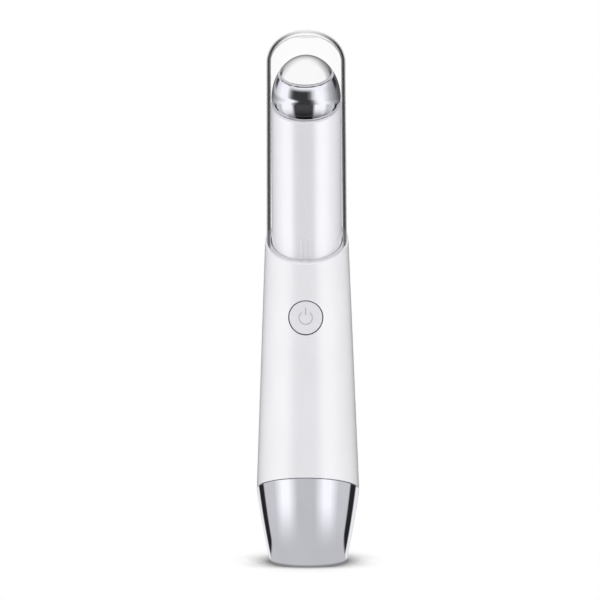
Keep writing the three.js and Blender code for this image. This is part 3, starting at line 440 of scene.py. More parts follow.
def head_line(inset):
    """The egg-shaped outline from its lower end up to its apex, drawn in by an inset."""
    span = math.pi / 2 - HEAD_LOW_TURN
    turns = [HEAD_LOW_TURN + span * index / HEAD_STEPS for index in range(HEAD_STEPS)]
    line = [((HEAD_RADIUS - inset) * math.cos(turn),
             HEAD_HEIGHT + (HEAD_RISE - inset) * math.sin(turn)) for turn in turns]
    return [*line, (0, HEAD_HEIGHT + HEAD_RISE - inset)]


def head_shell(name, outer_inset, inner_inset):
    """A closed shell between two insets of the head's outline."""
    return turned(name, [*head_line(outer_inset)[::-1], *head_line(inner_inset)])


# %% Collar with its bead
collar = sawn(head_shell("chrome_collar", 0, COLLAR_WALL),
              COLLAR_HEIGHT + BEAD_HEIGHT, SHOULDER_TILT, "above")
bead = sawn(head_shell("bead", BEAD_INSET, COLLAR_WALL),
            COLLAR_HEIGHT, SHOULDER_TILT, "above")
COLLAR_TOP = PLATE_HEIGHT - GASKET_THICKNESS / 2 - CLOSE_GAP
sawn(bead, COLLAR_TOP - BEAD_TOP_DROP, SEAM_TILT, "below")
sawn(collar, COLLAR_TOP, SEAM_TILT, "below")
cut_by(collar, bead, "UNION")
clean(collar)
rounded(collar, width=0.1)
placed(collar, "handle", "chrome_plating", "head_collar")

# %% Gasket and plate
gasket = sawn(head_shell("pale_gasket", GASKET_INSET, GASKET_DEPTH),
              PLATE_HEIGHT - GASKET_THICKNESS / 2, SEAM_TILT, "above")
sawn(gasket, PLATE_HEIGHT + GASKET_THICKNESS / 2, SEAM_TILT, "below")
rounded(gasket, width=0.08)
placed(gasket, "handle", "pale_silicone", "plate_gasket")

plate = sawn(head_shell("warm_plate", 0, PLATE_WALL),
             PLATE_HEIGHT + GASKET_THICKNESS / 2 + CLOSE_GAP, SEAM_TILT, "above")
rounded(plate, width=0.2, segments=3)
placed(plate, "handle", "plate_metal", "massage_plate")

# %% [markdown]
# ## Power button
#
# The button follows the handle's curve and is dished in its middle. It is turned with a
# flat face that stands too far out, laid down along Y, and its face is then pressed back
# on to a mould: a copy of the handle's outline, dished by a large ball. A flange at its
# back keeps it in the handle, and its rim is rounded, so that the gap round it reads as a
# thin dark ring.

# %% Button
BUTTON_FLANGE_FRONT, BUTTON_FLANGE_BACK, BUTTON_FLANGE_RADIUS = -8.68, -7.88, 5.5
STEM_RADIUS, STEM_TIP, BUTTON_FACE, BUTTON_SKIRT = 1.5, -7.18, 1.1, 0.9
DISH_RADIUS, DISH_DEPTH = 30.0, 0.3
MOULD_LOW, MOULD_HIGH, MOULD_SIDES = 60, 82, 288
FACE_STAND, RIM_STEP = 16.0, 0.12
FACE_RINGS = (0, 1.0, 2.0, 3.0, 3.8, 4.35, BUTTON_RADIUS - RIM_STEP)
FACE_FRONT = -handle_radius(BUTTON_HEIGHT)
POCKET_RADIUS = BUTTON_RADIUS - BUTTON_SKIRT
POCKET_END = -FACE_FRONT - BUTTON_FACE - DISH_DEPTH


def face_mould(name):
    """The surface that the button's face follows: the handle's outline less the dish."""
    skin = outline(handle_radius, MOULD_LOW, MOULD_HIGH, 1.0)
    mould = turned(name, [(0, MOULD_LOW), *skin, (0, MOULD_HIGH)], MOULD_SIDES)
    select_only(None)
    bpy.ops.mesh.primitive_uv_sphere_add(
        segments=256, ring_count=128, radius=DISH_RADIUS * MM,
        location=(0, (FACE_FRONT + DISH_DEPTH - DISH_RADIUS) * MM, BUTTON_HEIGHT * MM))
    ball = bpy.context.object
    bpy.ops.object.transform_apply(location=True, rotation=True, scale=True)
    return cut_by(mould, ball)


def pressed_on(piece, mould, offset=0.0):
    """Moves a piece's selected points along Y on to a mould."""
    wrap = piece.modifiers.new("press", "SHRINKWRAP")
    wrap.wrap_method = "PROJECT"
    wrap.use_project_x, wrap.use_project_y, wrap.use_project_z = False, True, False
    wrap.use_negative_direction = False
    wrap.use_positive_direction = True
    wrap.target = mould
    wrap.offset = offset * MM
    if piece.vertex_groups:
        wrap.vertex_group = piece.vertex_groups[0].name
    select_only(piece)
    bpy.ops.object.modifier_apply(modifier=wrap.name)
    return piece


mould = face_mould("mould")
button = turned("power_button_cap", [
    *[(radius, FACE_STAND) for radius in FACE_RINGS],
    (BUTTON_RADIUS, FACE_STAND - RIM_STEP),
    (BUTTON_RADIUS, -BUTTON_FLANGE_FRONT),
    (BUTTON_FLANGE_RADIUS, -BUTTON_FLANGE_FRONT),
    (BUTTON_FLANGE_RADIUS, -BUTTON_FLANGE_BACK),
    (POCKET_RADIUS, -BUTTON_FLANGE_BACK),
    (POCKET_RADIUS, POCKET_END),
    (STEM_RADIUS, POCKET_END),
    (STEM_RADIUS, -STEM_TIP),
    (0, -STEM_TIP),
], 96)
select_only(button)
button.rotation_euler = (math.pi / 2, 0, 0)
button.location = (0, 0, BUTTON_HEIGHT * MM)
bpy.ops.object.transform_apply(location=True, rotation=True, scale=True)
points = button.data.vertices
face = [point.index for point in points if point.co.y < -(FACE_STAND - 4 * RIM_STEP) * MM]
rim = [index for index in face if points[index].co.y > -(FACE_STAND - RIM_STEP / 2) * MM]
button.vertex_groups.new(name="face").add(face, 1.0, "REPLACE")
pressed_on(button, mould)
for index in rim:
    button.data.vertices[index].co.y += RIM_STEP * MM
button.vertex_groups.clear()
rounded(button, width=0.06)
placed(button, "button", "button_white", "power_button")

# %% [markdown]
# ## Power sign
#
# The sign is a thin print: an arc that is open at its top and a short bar in the opening.
# It is drawn flat in front of the button, given its small thickness, and pressed on to
# the dished face.

# %% Power sign
SIGN_RADIUS, SIGN_LINE, SIGN_OPENING = 1.85, 0.28, math.radians(38)
SIGN_BAR_LOW, SIGN_BAR_HIGH, SIGN_THICKNESS = 0.8, 2.9, 0.02
ARC_STEPS, BAR_STEPS = 40, 8


def sign_grid(name, rows):
    """A flat strip of faces in front of the button, through rows of two points each."""
    points = [(x * MM, -FACE_STAND * MM, (BUTTON_HEIGHT + z) * MM)
              for row in rows for x, z in row]
    faces = [(2 * i, 2 * i + 1, 2 * i + 3, 2 * i + 2) for i in range(len(rows) - 1)]
    mesh = bpy.data.meshes.new(name)
    mesh.from_pydata(points, [], faces)
    piece = bpy.data.objects.new(name, mesh)
    bpy.context.scene.collection.objects.link(piece)
    return piece


def arc_rows():
    """The arc's rows, from one side of its opening round to the other."""
    start, end = math.pi / 2 + SIGN_OPENING, math.pi * 2.5 - SIGN_OPENING
    turns = [start + (end - start) * index / ARC_STEPS for index in range(ARC_STEPS + 1)]
    inner, outer = SIGN_RADIUS - SIGN_LINE / 2, SIGN_RADIUS + SIGN_LINE / 2
    return [((inner * math.cos(t), inner * math.sin(t)),
             (outer * math.cos(t), outer * math.sin(t))) for t in turns]


def bar_rows():
    """The bar's rows, from its low end up."""
    rise = (SIGN_BAR_HIGH - SIGN_BAR_LOW) / BAR_STEPS
    heights = [SIGN_BAR_LOW + rise * index for index in range(BAR_STEPS + 1)]
    return [((-SIGN_LINE / 2, z), (SIGN_LINE / 2, z)) for z in heights]


arc, bar = sign_grid("power_sign", arc_rows()), sign_grid("bar", bar_rows())
select_only(arc)
bar.select_set(True)
bpy.ops.object.join()
sign = bpy.context.object
pressed_on(sign, mould, SIGN_THICKNESS)
bpy.data.objects.remove(mould)
thicken = sign.modifiers.new("ink", "SOLIDIFY")
thicken.thickness = SIGN_THICKNESS * MM
thicken.offset = 0
bpy.ops.object.modifier_apply(modifier=thicken.name)
clean(sign)
placed(sign, "button", "grey_plastic")

# %% [markdown]
# ## Finishes: writing shader maths as sums
#
# A finish is a tree of nodes, and its maths is easier to read as a sum than as a picture
# of boxes. The class below wraps an output socket, so that `1 - mask * 0.3` adds the Math
# nodes that it needs. Every other node comes from one method that takes the node's type,
# its settings and what its sockets get, and the nodes that come back often have a short
# name of their own.

# %% Sockets that can be added and multiplied
class Wire:
    """A node's output that adds a Math node for each sum it stands in."""

    def __init__(self, finish, socket):
        self.finish, self.socket = finish, socket

    def __add__(self, other):
        return self.finish.math("ADD", self, other)

    __radd__ = __add__

    def __mul__(self, other):
        return self.finish.math("MULTIPLY", self, other)

    __rmul__ = __mul__

    def __sub__(self, other):
        return self.finish.math("SUBTRACT", self, other)

    def __rsub__(self, other):
        return self.finish.math("SUBTRACT", other, self)

    def __abs__(self):
        return self.finish.math("ABSOLUTE", self)


# %% A finish and its nodes
BUMP_DISTANCE = 0.0001


class Finish:
    """A material, or the world, whose nodes are made one call at a time."""

    def __init__(self, name, owner=None):
        self.owner = owner or bpy.data.materials.new(name)
        self.owner.use_nodes = True
        self.tree = self.owner.node_tree
        self.tree.nodes.clear()

    def node(self, kind, settings=None, values=None, output=0):
        made = self.tree.nodes.new(kind)
        for key, value in (settings or {}).items():
            if key == "stops":
                set_stops(made.color_ramp, value)
            else:
                setattr(made, key, value)
        for key, value in (values or {}).items():
            if isinstance(value, Wire):
                self.tree.links.new(value.socket, made.inputs[key])
            else:
                made.inputs[key].default_value = value
        return Wire(self, made.outputs[output]) if len(made.outputs) else made

    def math(self, operation, *numbers):
        return self.node("ShaderNodeMath", {"operation": operation}, dict(enumerate(numbers)))

    def place(self):
        return self.node("ShaderNodeTexCoord", output="Object")

    def axis(self, letter, vector):
        return self.node("ShaderNodeSeparateXYZ", None, {0: vector}, output=letter)

    def length(self, vector):
        return self.node("ShaderNodeVectorMath", {"operation": "LENGTH"}, {0: vector}, "Value")

    def ray(self, kind):
        return self.node("ShaderNodeLightPath", output=f"Is {kind} Ray")

    def blended(self, share, first, second):
        return self.node("ShaderNodeMixShader", None, {0: share, 1: first, 2: second})

    def stretched(self, scale):
        return self.node("ShaderNodeMapping", None, {"Vector": self.place(), "Scale": scale})

    def noise(self, scale, detail=3.0, vector=None):
        values = {"Scale": scale, "Detail": detail, "Vector": vector or self.place()}
        return self.node("ShaderNodeTexNoise", None, values)

    def ramp(self, factor, stops):
        return self.node("ShaderNodeValToRGB", {"stops": stops}, {"Fac": factor})

    def remap(self, value, low, high, to_low, to_high):
        values = {"Value": value, "From Min": low, "From Max": high,
                  "To Min": to_low, "To Max": to_high}
        return self.node("ShaderNodeMapRange", {"interpolation_type": "SMOOTHSTEP"}, values)

    def mixed(self, factor, first, second):
        return self.node("ShaderNodeMix", {"data_type": "RGBA"},
                         {0: factor, 6: first, 7: second}, output=2)

    def gloss(self, pattern, rough):
        return self.remap(pattern, 0.3, 0.7, *rough)

    def bump(self, height, strength):
        return self.node("ShaderNodeBump", None, {
            "Strength": strength, "Distance": BUMP_DISTANCE, "Height": height})

    def surface(self, values):
        shader = self.node("ShaderNodeBsdfPrincipled", None, values)
        self.node("ShaderNodeOutputMaterial", None, {"Surface": shader})
        return self.owner


def set_stops(ramp, stops):
    """Gives a colour ramp its stops, each a place and a grey or a colour."""
    while len(ramp.elements) < len(stops):
        ramp.elements.new(0.5)
    for element, (position, tone) in zip(ramp.elements, stops):
        element.position = position
        element.color = (tone, tone, tone, 1) if isinstance(tone, (int, float)) else (*tone, 1)


def rgb(red, green, blue):
    """A colour for a socket, which also wants an alpha."""
    return (red, green, blue, 1.0)


# %% [markdown]
# ## Moulded, rubber and metal finishes
#
# Moulded plastic isn't one flat colour: its tone drifts a little over centimetres, its
# gloss is broken by fingerprints, and a fine grain from the mould lies in the surface.
# One recipe gives all of these, and each finish sets its own colours, roughness, grain
# size and depth. Metals take the same recipe with their own colour as reflectance.

# %% The shared recipe
SMEARS_PER_CLOUD = 3.1


def moulded(name, light, dark, rough, cloud=180.0, grain=2600.0, depth=0.02, **fixed):
    """Drifting tone, broken gloss and a fine grain. Roughness is a low and a high value."""
    finish = Finish(name)
    tone = finish.remap(finish.noise(cloud, 2.0), 0.35, 0.65, 0.0, 1.0)
    values = {
        "Base Color": finish.mixed(tone, rgb(*light), rgb(*dark)),
        "Roughness": finish.gloss(finish.noise(cloud * SMEARS_PER_CLOUD, 4.0), rough),
        "Normal": finish.bump(finish.noise(grain, 1.0), depth),
    }
    values.update({key.replace("_", " "): value for key, value in fixed.items()})
    return finish.surface(values)


# %% [markdown]
# ## Outer finishes
#
# The handle and neck are white plastic under a clear pearl lacquer. The flakes in such a
# lacquer send back more light than plain plastic does, so its coat gets a high index. The
# cover and collar are chrome on plastic: a full metal with high reflectance and little
# roughness.

# %% Plastics and chrome
LACQUER = {"IOR": 1.45, "Coat_Weight": 1.0, "Coat_Roughness": 0.17}
pearl = moulded("pearl_white", (0.92, 0.915, 0.95), (0.895, 0.89, 0.925), (0.2, 0.25),
                cloud=60, grain=2400, depth=0.004, Coat_IOR=2.05, **LACQUER)
neck_white = moulded("neck_white", (0.95, 0.94, 0.99), (0.93, 0.92, 0.975), (0.2, 0.25),
                     cloud=90, grain=2400, depth=0.004, Coat_IOR=2.9, **LACQUER)
button_white = moulded("button_white", (0.79, 0.785, 0.82), (0.77, 0.765, 0.80), (0.3, 0.38),
                       cloud=200, grain=3200, depth=0.03, IOR=1.5)
chrome = moulded("chrome_plating", (0.905, 0.905, 0.98), (0.88, 0.88, 0.955), (0.03, 0.07),
                 cloud=120, grain=500, depth=0.004, Metallic=1.0)
plate_metal = moulded("plate_metal", (0.97, 0.97, 0.98), (0.95, 0.95, 0.96), (0.05, 0.09),
                      cloud=150, grain=700, depth=0.005, Metallic=1.0)
sign_ink = moulded("sign_ink", (0.50, 0.50, 0.53), (0.46, 0.46, 0.49), (0.45, 0.55),
                   cloud=500, grain=4000, depth=0.03)
silicone = moulded("pale_silicone", (0.62, 0.62, 0.65), (0.58, 0.58, 0.61), (0.5, 0.62),
                   cloud=300, grain=2500, depth=0.05)

# %% [markdown]
# ## Clear plastic
#
# A thin clear wall is all but invisible where the eye looks straight through it, and goes
# dark where it is seen along its length, so a cap is drawn by its own edges. Here that dark
# is painted shade: a dark colour that Alpha lets in towards the edges. Transmission would
# bend the light as well, but then the white neck inside is lit through two bent walls, and
# gets too dark and noisy. So the wall is let through by Alpha instead: next to nothing where
# it faces the eye, and most of it towards the edge. The outer and the inner face each have
# their own ramp, by how far a face turns away. The crown is seen at a flat angle all over,
# and would come out dark, so its painted shade fades upwards. A thin line of painted shade
# darkens the rim's cut edge.

# %% Clear plastic
OUTER_EDGE = [(0.0, 0.004), (0.53, 0.012), (0.575, 0.4), (0.61, 0.8), (0.69, 0.84),
              (0.77, 0.42), (0.86, 0.14), (1.0, 0.1)]
INNER_EDGE = [(0.0, 0.004), (0.74, 0.012), (0.88, 0.5), (1.0, 0.7)]
WALL_INSIDE, WALL_OUTSIDE = 0.93, 0.95
CROWN_FADE_HEIGHT, CROWN_SHARE = 145.2, 0.16
# Painted shade along the rim's cut edge: how far above the shoulder it reaches, and how dark.
RIM_SHADE_LOW, RIM_SHADE_HIGH, PAINTED_RIM_SHADE = 0.12, 0.3, 0.16
DOME_HALF_AXIS = (CAP_TOP - DOME_HEIGHT) / math.sqrt(1 - (CROWN_RADIUS / CAP_TOP_RADIUS) ** 2)


def clear_wall(name):
    """Clear where it faces the eye, with painted shade where it is seen along its length."""
    finish = Finish(name)
    place = finish.place()
    height = finish.axis("Z", place)
    flat = finish.node("ShaderNodeVectorMath", {"operation": "MULTIPLY"},
                       {0: place, 1: (1, 1, 0)})
    across = finish.length(flat) * (1 / (CAP_TOP_RADIUS * MM))
    domed = (height - DOME_HEIGHT * MM) * (1 / (DOME_HALF_AXIS * MM))
    domed = finish.math("MAXIMUM", domed, 0.0)
    shell = finish.math("SQRT", across * across + domed * domed)
    outside = finish.remap(shell, WALL_INSIDE, WALL_OUTSIDE, 0.0, 1.0)
    facing = finish.node("ShaderNodeLayerWeight", None, {"Blend": 0.5}, output="Facing")
    outer = finish.ramp(facing, OUTER_EDGE)
    inner = finish.ramp(facing, INNER_EDGE)
    crown = finish.remap(height, CROWN_FADE_HEIGHT * MM, CAP_TOP * MM, 1.0, CROWN_SHARE)
    painted_edge_shade = (outer * outside + inner * (1 - outside)) * crown
    shoulder = finish.axis("Y", place) * math.tan(SHOULDER_TILT)
    lift = height - shoulder - (SHOULDER_HEIGHT + SEAM_GAP) * MM
    # Painted shade: a thin dark line along the rim's cut edge, just above the shoulder.
    rim = finish.remap(lift, RIM_SHADE_LOW * MM, RIM_SHADE_HIGH * MM, PAINTED_RIM_SHADE, 0.0)
    return finish.surface({
        # Painted shade: the dark colour that Alpha lets in towards the edges.
        "Base Color": finish.mixed(facing, rgb(0.04, 0.04, 0.05), rgb(0.01, 0.01, 0.014)),
        "Alpha": finish.math("MAXIMUM", painted_edge_shade, rim),
        "Roughness": finish.gloss(finish.noise(240, 4.0), (0.02, 0.07)),
        "Normal": finish.bump(finish.noise(120, 1.0), 0.002),
        "IOR": 1.12,
    })


clear = clear_wall("clear_plastic")


def dressed(material, *pieces):
    """Gives pieces one finish."""
    for piece in pieces:
        piece.data.materials.clear()
        piece.data.materials.append(material)
    print(material.name, "on", ", ".join(piece.name for piece in pieces))


dressed(pearl, handle)
dressed(neck_white, neck)
dressed(button_white, button)
dressed(chrome, cover, collar)
dressed(plate_metal, plate)
dressed(sign_ink, sign)
dressed(silicone, gasket)
dressed(clear, cap)

# %% [markdown]
# ## Inner finishes
#
# The solids inside keep their meshes and only get finishes, which show when the base is
# pulled off or the wand is taken apart. Patterns follow what each part is: brushed steel
# is noise stretched along the axis, a wound coil is fine bands, and the board's tracks
# are the cells of a brick pattern under green varnish.

# %% Finishes with a pattern
BAND_BLUR = 0.02


def brushed(name, light, dark, rough, stretch):
    """Metal with streaks drawn out along one axis."""
    finish = Finish(name)
    streaks = finish.noise(1.0, 3.0, finish.stretched(stretch))
    tone = finish.remap(streaks, 0.3, 0.7, 0.0, 1.0)
    return finish.surface({
        "Base Color": finish.mixed(tone, rgb(*light), rgb(*dark)),
        "Metallic": 1.0,
        "Roughness": finish.gloss(streaks, rough),
        "Normal": finish.bump(streaks, 0.08),
    })


def banded(name, light, dark, rough, pitch, share, metallic):
    """Bands along Z, such as a wrap, a sleeve or a winding. The pitch is in millimetres,
    and the share of it is light."""
    finish = Finish(name)
    phase = finish.math("FRACT", finish.axis("Z", finish.place()) * (1 / (pitch * MM)))
    band = finish.remap(phase, share - BAND_BLUR, share + BAND_BLUR, 0.0, 1.0)
    return finish.surface({
        "Base Color": finish.mixed(band, rgb(*light), rgb(*dark)),
        "Metallic": metallic,
        "Roughness": finish.gloss(finish.noise(700, 3.0), rough),
        "Normal": finish.bump(band, 0.1),
    })


def printed_board(name):
    """Green varnish over copper tracks, with bare pads."""
    finish = Finish(name)
    tracks = finish.node("ShaderNodeTexBrick", {"offset": 0.35}, {
        "Vector": finish.stretched((1, 0.1, 1)), "Scale": 420.0, "Mortar Size": 0.04,
        "Color1": rgb(0.02, 0.16, 0.07), "Color2": rgb(0.03, 0.2, 0.09),
        "Mortar": rgb(0.05, 0.32, 0.14)})
    return finish.surface({
        "Base Color": tracks,
        "Roughness": finish.gloss(finish.noise(600, 3.0), (0.25, 0.4)),
        "Normal": finish.bump(finish.noise(900, 2.0), 0.05),
        "Coat Weight": 0.4,
    })


ALONG_Z = (900, 900, 90)
steel = brushed("steel", (0.62, 0.62, 0.64), (0.48, 0.48, 0.5), (0.22, 0.4), ALONG_Z)
brass = brushed("contact_brass", (0.78, 0.6, 0.3), (0.66, 0.48, 0.2), (0.2, 0.36), ALONG_Z)
wrap = banded("battery_wrap", (0.10, 0.22, 0.34), (0.55, 0.57, 0.6), (0.29, 0.38),
              pitch=47, share=0.82, metallic=0.3)
can = banded("capacitor_metal", (0.5, 0.52, 0.56), (0.05, 0.05, 0.06), (0.25, 0.4),
             pitch=3.0, share=0.8, metallic=0.9)
coil = banded("coil_dark", (0.05, 0.05, 0.055), (0.42, 0.18, 0.07), (0.35, 0.5),
              pitch=0.36, share=0.5, metallic=0.2)
board = printed_board("board_green")

# %% Plain inner finishes
weight = moulded("weight_metal", (0.5, 0.4, 0.24), (0.4, 0.31, 0.17), (0.35, 0.5),
                 grain=5000, depth=0.2, Metallic=1.0)
white = moulded("white_plastic", (0.78, 0.78, 0.78), (0.74, 0.74, 0.745), (0.42, 0.55),
                depth=0.06)
grey = moulded("grey_plastic", (0.5, 0.51, 0.53), (0.46, 0.47, 0.49), (0.45, 0.6),
               depth=0.08)
rubber = moulded("dark_rubber", (0.05, 0.05, 0.055), (0.035, 0.035, 0.04), (0.6, 0.75),
                 depth=0.1)
black = moulded("chip_black", (0.022, 0.022, 0.026), (0.016, 0.016, 0.02), (0.4, 0.55),
                depth=0.15)
ceramic = moulded("heater_ceramic", (0.72, 0.67, 0.57), (0.64, 0.58, 0.48), (0.5, 0.7),
                  depth=0.2)
red_lead = moulded("lead_red", (0.5, 0.03, 0.025), (0.42, 0.02, 0.02), (0.35, 0.45),
                   depth=0.04)
black_lead = moulded("lead_black", (0.03, 0.03, 0.034), (0.022, 0.022, 0.026), (0.35, 0.45),
                     depth=0.04)
white_lead = moulded("lead_white", (0.76, 0.74, 0.69), (0.7, 0.68, 0.63), (0.35, 0.45),
                     depth=0.04)

# %% Finishes on the solids
FINISH_OF_SLOT = {
    "pearl_white": pearl, "button_white": button_white, "clear_plastic": clear,
    "chrome_plating": chrome, "plate_metal": plate_metal, "pale_silicone": silicone,
    "dark_rubber": rubber, "white_plastic": white, "grey_plastic": grey,
    "battery_wrap": wrap, "contact_brass": brass, "weight_metal": weight, "steel": steel,
    "board_green": board, "coil_dark": coil, "capacitor_metal": can, "chip_black": black,
    "heater_ceramic": ceramic, "lead_red": red_lead, "lead_black": black_lead,
    "lead_white": white_lead,
}
for subpart in frame["record"]["subparts"]:
    material = FINISH_OF_SLOT[subpart["material_slot"]]
    node = frame["nodes"][subpart["node"]]
    for slot in node.material_slots:
        slot.material = material
print("finishes:", len(FINISH_OF_SLOT))

# %% [markdown]
# ## Floor
#
# The floor is a plain pale sheet, and the room behind it is just as white, so all that the
# camera can see of it is the shadow. An Ambient Occlusion node tells how crowded each spot
# is, and the sheet darkens there and is left out elsewhere, so the base still shows when
# it is pulled off downwards. In front of the foot the shadow is lighter, as the soft boxes
# stand on that side. For matt light the sheet is whole. Chrome that leans down mirrors the
# table close in front of it: that patch is grey, with a brighter streak towards each soft
# box. Past the patch, metal looks through the floor at the studio, which is drawn in the
# world below, and so does a camera that looks up from under it.

# %% Bearings round the object
BOX_TURN = 2.3


def degrees_of(wire):
    """An angle in degrees from one in radians."""
    return wire * (180 / math.pi)


def bearing(finish, vector):
    """Degrees round the axis: none at the front, growing towards the right."""
    east, north = finish.axis("X", vector), finish.axis("Y", vector)
    return degrees_of(finish.math("ARCTAN2", east, north * -1))


# %% The table that chrome mirrors
FLOOR_SIZE, FLOOR_DROP = 9.0, 0.02
TABLE_GREY, STREAK_GAIN, STREAK_NEAR, STREAK_FAR = 0.56, 0.5, 18, 62
STREAK = [(0, 0.0), (18, 0.0), (38, 1.0), (52, 1.0), (72, 0.12), (180, 0.0)]
# Painted shade in the mirrored table: it is darker close round the foot.
FOOT_NEAR, FOOT_FAR, FOOT_SHADE = 10.2, 12.0, 0.42
PATCH_INSIDE, PATCH_OUTSIDE, PATCH_BACK = 100, 112, 4

select_only(None)
bpy.ops.mesh.primitive_plane_add(size=FLOOR_SIZE, location=(0, 0, -FLOOR_DROP * MM))
floor = bpy.context.object
floor.name = "studio_floor"
floor.visible_transmission = False
paper = Finish("floor_paper")
here = paper.place()
north = paper.axis("Y", here)
distance = paper.length(here)
aside = abs(bearing(paper, here) + BOX_TURN)
streak = paper.ramp(aside * (1 / 180), [(at / 180, tone) for at, tone in STREAK])
near = paper.remap(distance, STREAK_NEAR * MM, STREAK_FAR * MM, 0.0, 1.0)
# Painted shade: the mirrored table's glow dims close round the foot.
contact = paper.remap(distance, FOOT_NEAR * MM, FOOT_FAR * MM, FOOT_SHADE, 1.0)
tone = (TABLE_GREY + streak * near * STREAK_GAIN) * contact
table = paper.node("ShaderNodeEmission", None, {"Strength": tone})
close_by = paper.remap(distance, PATCH_INSIDE * MM, PATCH_OUTSIDE * MM, 1.0, 0.0)
in_front = paper.remap(north, 0.0, PATCH_BACK * MM, 1.0, 0.0)
clear_air = paper.node("ShaderNodeBsdfTransparent")
mirrored_floor = paper.blended(close_by * in_front, clear_air, table)
print("floor:", FLOOR_SIZE, "m across,", FLOOR_DROP, "mm under the foot")

# %% The shadow that the camera sees
SHEET_TONE, SHADOW_REACH = 0.97, 16
SHADOW_FULL, SHADOW_NONE, SHADOW_DEPTH = 0.45, 0.81, 0.8
FRONT_FULL, FRONT_NONE, FRONT_DEPTH = -13.5, -8.0, 0.3

crowded = paper.node("ShaderNodeAmbientOcclusion", {"samples": 8},
                     {"Distance": SHADOW_REACH * MM}, output="AO")
shadow = paper.remap(crowded, SHADOW_FULL, SHADOW_NONE, SHADOW_DEPTH, 0.0)
lighter = paper.remap(north, FRONT_FULL * MM, FRONT_NONE * MM, FRONT_DEPTH, 1.0)
darkness = paper.node("ShaderNodeEmission", None, {"Strength": 0.0})
shadowed = paper.blended(shadow * lighter, clear_air, darkness)
sheet = paper.node("ShaderNodeBsdfDiffuse", None,
                   {"Color": rgb(SHEET_TONE, SHEET_TONE, SHEET_TONE)})
lit = paper.blended(paper.ray("Camera"), sheet, shadowed)
top_side = paper.blended(paper.ray("Glossy"), lit, mirrored_floor)
from_below = paper.node("ShaderNodeNewGeometry", output="Backfacing")
both = paper.blended(from_below, top_side, clear_air)
paper.node("ShaderNodeOutputMaterial", None, {"Surface": both})
floor.data.materials.append(paper.owner)
print("floor finish:", len(paper.tree.nodes), "nodes")

# %% [markdown]
# ## Studio
#
# Chrome shows the room, so the room is drawn by direction, as a ring of grey cards: two
# tall soft boxes beside the camera, a dark gap between them, and greys behind. The real
# collar mirrors the gap as a dark block, wide above and narrow below, so the ring is
# squeezed for level rays and turned a little for rising ones. Rays that leave steeply
# downwards meet a second ring with dark flags beside the object, which draw the base's
# black side lines. Above, all fades to white, and two dark spots behind shade the plate's
# flanks.

# %% Two rings of cards, as degrees round the object and a grey
CARDS = [
    (-180, 0.12), (-160, 0.15), (-122, 0.48), (-98, 0.78), (-78, 1.0), (-54, 1.0), (-44, 0.42),
    (-36, 0.12), (-27, 0.04), (15, 0.04), (26, 0.16), (36, 0.62), (49, 1.0), (70, 1.0),
    (84, 0.8), (100, 0.5), (122, 0.29), (150, 0.1), (180, 0.12)]
LOW_CARDS = [
    (-180, 0.72), (-147, 0.86), (-140, 0.02), (-119, 0.02), (-114, 0.58), (-93, 0.58),
    (-84, 1.0), (-50, 1.0), (-38, 0.06), (24, 0.06), (34, 1.0), (66, 1.0), (78, 0.58),
    (110, 0.58), (115, 0.02), (136, 0.02), (143, 0.86), (180, 0.72)]
CARD_GAIN = 1.06
LOW_RISE, LEVEL_RISE, RISING_RISE, HIGH_RISE = -9, -4.6, -4, 1
LEAN_LEFT, LEAN_RIGHT, LEAN_RISING = -14, 11, 11
LEAN_LEFT_TURN, LEAN_RIGHT_TURN = -30, 80

world = bpy.data.worlds.new("studio")
bpy.context.scene.world = world
room = Finish("studio", world)
direction = room.node("ShaderNodeTexCoord", output="Generated")
turn = bearing(room, direction)
rise = degrees_of(room.math("ARCSINE", room.axis("Z", direction)))


def card_ring(angle, cards):
    """Grey by direction, from cards in degrees round the object."""
    return room.ramp(angle * (1 / 360) + 0.5, [(at / 360 + 0.5, tone) for at, tone in cards])


level_rays = room.remap(rise, LOW_RISE, LEVEL_RISE, 0.0, 1.0)
rising_rays = room.remap(rise, RISING_RISE, HIGH_RISE, 0.0, 1.0)
leaning = (room.remap(turn, LEAN_LEFT_TURN, 0, LEAN_LEFT, 0)
           + room.remap(turn, 0, LEAN_RIGHT_TURN, 0, LEAN_RIGHT))
shifted = turn + level_rays * (1 - rising_rays) * leaning + rising_rays * LEAN_RISING
print("cards:", len(CARDS), "and", len(LOW_CARDS))

# %% The studio by direction
STEEP_RISE, GROUND_LOW, GROUND_HIGH, GROUND_SHARE = -12.6, -40, -16, 0.15
BEHIND_START, BEHIND_END = 75, 130
WHITE_START, WHITE_END, BEHIND_END_LIFT = 14, 24, 52
SPOT_TURN, SPOT_TURN_CORE, SPOT_TURN_REACH = 132, 7, 17
SPOT_RISE, SPOT_RISE_CORE, SPOT_RISE_REACH, SPOT_DEPTH = 13, 5, 12, 0.85

steep = room.remap(rise, STEEP_RISE, LOW_RISE, 1.0, 0.0)
ring = card_ring(shifted, CARDS) * (1 - steep) + card_ring(turn, LOW_CARDS) * steep
level = ring * CARD_GAIN * room.remap(rise, GROUND_LOW, GROUND_HIGH, GROUND_SHARE, 1.0)
behind = room.remap(abs(turn), BEHIND_START, BEHIND_END, 0.0, 1.0)
above = room.remap(rise, WHITE_START - behind * WHITE_START,
                   WHITE_END + behind * BEHIND_END_LIFT, 0.0, 1.0)
spot = (room.remap(abs(abs(turn) - SPOT_TURN), SPOT_TURN_CORE, SPOT_TURN_REACH, 1.0, 0.0)
        * room.remap(abs(rise - SPOT_RISE), SPOT_RISE_CORE, SPOT_RISE_REACH, 1.0, 0.0))
studio = (level * (1 - above) + above) * (1 - spot * SPOT_DEPTH)
print("studio:", len(room.tree.nodes), "nodes")

# %% [markdown]
# ## What each kind of ray sees
#
# The camera sees plain white everywhere, metal and glass see the drawn studio, and matt
# surfaces get an even light, so that a colour renders about as it is written. A ray that
# has left a matt surface and then meets chrome finds a plain grey, so that the chrome
# throws no bright patches on the white parts.

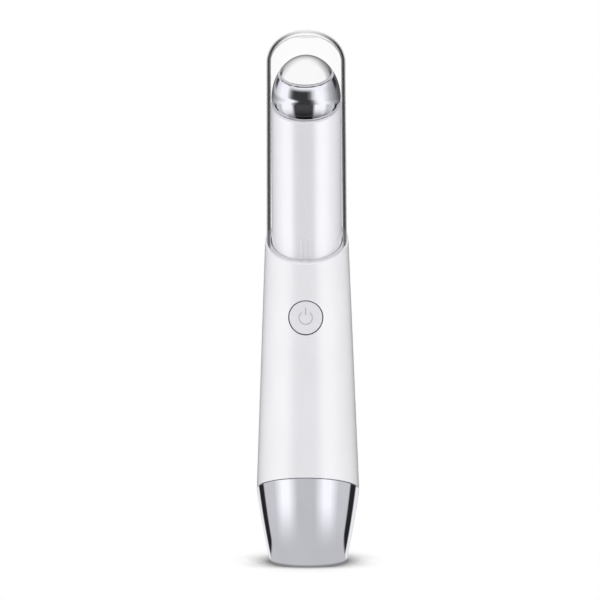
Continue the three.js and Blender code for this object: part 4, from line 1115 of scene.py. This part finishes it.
# %% World
MATT_LIGHT, CHROME_SHADE = 1.0, 0.3
scattered = room.node("ShaderNodeLightPath", output="Diffuse Depth")
scattered = room.math("MINIMUM", scattered, 1.0)
mirrored = room.math("MAXIMUM", room.ray("Glossy"), room.ray("Transmission"))
mirrored_light = studio * (1 - scattered) + scattered * CHROME_SHADE
other_light = mirrored * mirrored_light + (1 - mirrored) * MATT_LIGHT
seen = room.ray("Camera")
strength = seen + (1 - seen) * other_light
light = room.node("ShaderNodeBackground", None, {"Color": rgb(1, 1, 1), "Strength": strength})
room.node("ShaderNodeOutputWorld", None, {"Surface": light})
print("world:", world.name)

# %% [markdown]
# ## Camera
#
# The photograph was taken with a long lens a little above the object and a little to the
# right of its front. The camera looks at the point of the axis that lies in the middle of
# the picture, stands well back, and is rolled by a quarter of a degree, as the wand leans
# by that much in the picture.

# %% Camera
PICTURE = 600
PIXELS_PER_MM = 3.59
CAMERA_TURN, CAMERA_RISE, CAMERA_ROLL = math.radians(2), math.radians(9), math.radians(0.27)
DISTANCE = 3.5
AXIS_PIXEL, FOOT_PIXEL = 307.1, 562.0

back = Vector((math.sin(CAMERA_TURN) * math.cos(CAMERA_RISE),
               -math.cos(CAMERA_TURN) * math.cos(CAMERA_RISE), math.sin(CAMERA_RISE)))
right = Vector((0, 0, 1)).cross(back).normalized()
level_up = back.cross(right)
aim_height = (FOOT_PIXEL - PICTURE / 2) / (PIXELS_PER_MM * math.cos(CAMERA_RISE)) * MM
aim = Vector((0, 0, aim_height)) + right * ((PICTURE / 2 - AXIS_PIXEL) / PIXELS_PER_MM * MM)
rolled_right = right * math.cos(CAMERA_ROLL) - level_up * math.sin(CAMERA_ROLL)
rolled_up = level_up * math.cos(CAMERA_ROLL) + right * math.sin(CAMERA_ROLL)
turned_to = Matrix((rolled_right, rolled_up, back)).transposed().to_4x4()

lens = bpy.data.cameras.new("camera")
camera = bpy.data.objects.new("camera", lens)
bpy.context.scene.collection.objects.link(camera)
lens.sensor_width = 36
lens.lens = lens.sensor_width * DISTANCE / (PICTURE / PIXELS_PER_MM * MM)
lens.clip_start, lens.clip_end = 0.01, 20
camera.matrix_world = Matrix.Translation(aim + back * DISTANCE) @ turned_to
bpy.context.scene.camera = camera
bpy.context.scene.view_settings.view_transform = "Standard"
print("lens:", round(lens.lens), "mm, aim:", [round(value * 1000, 1) for value in aim])
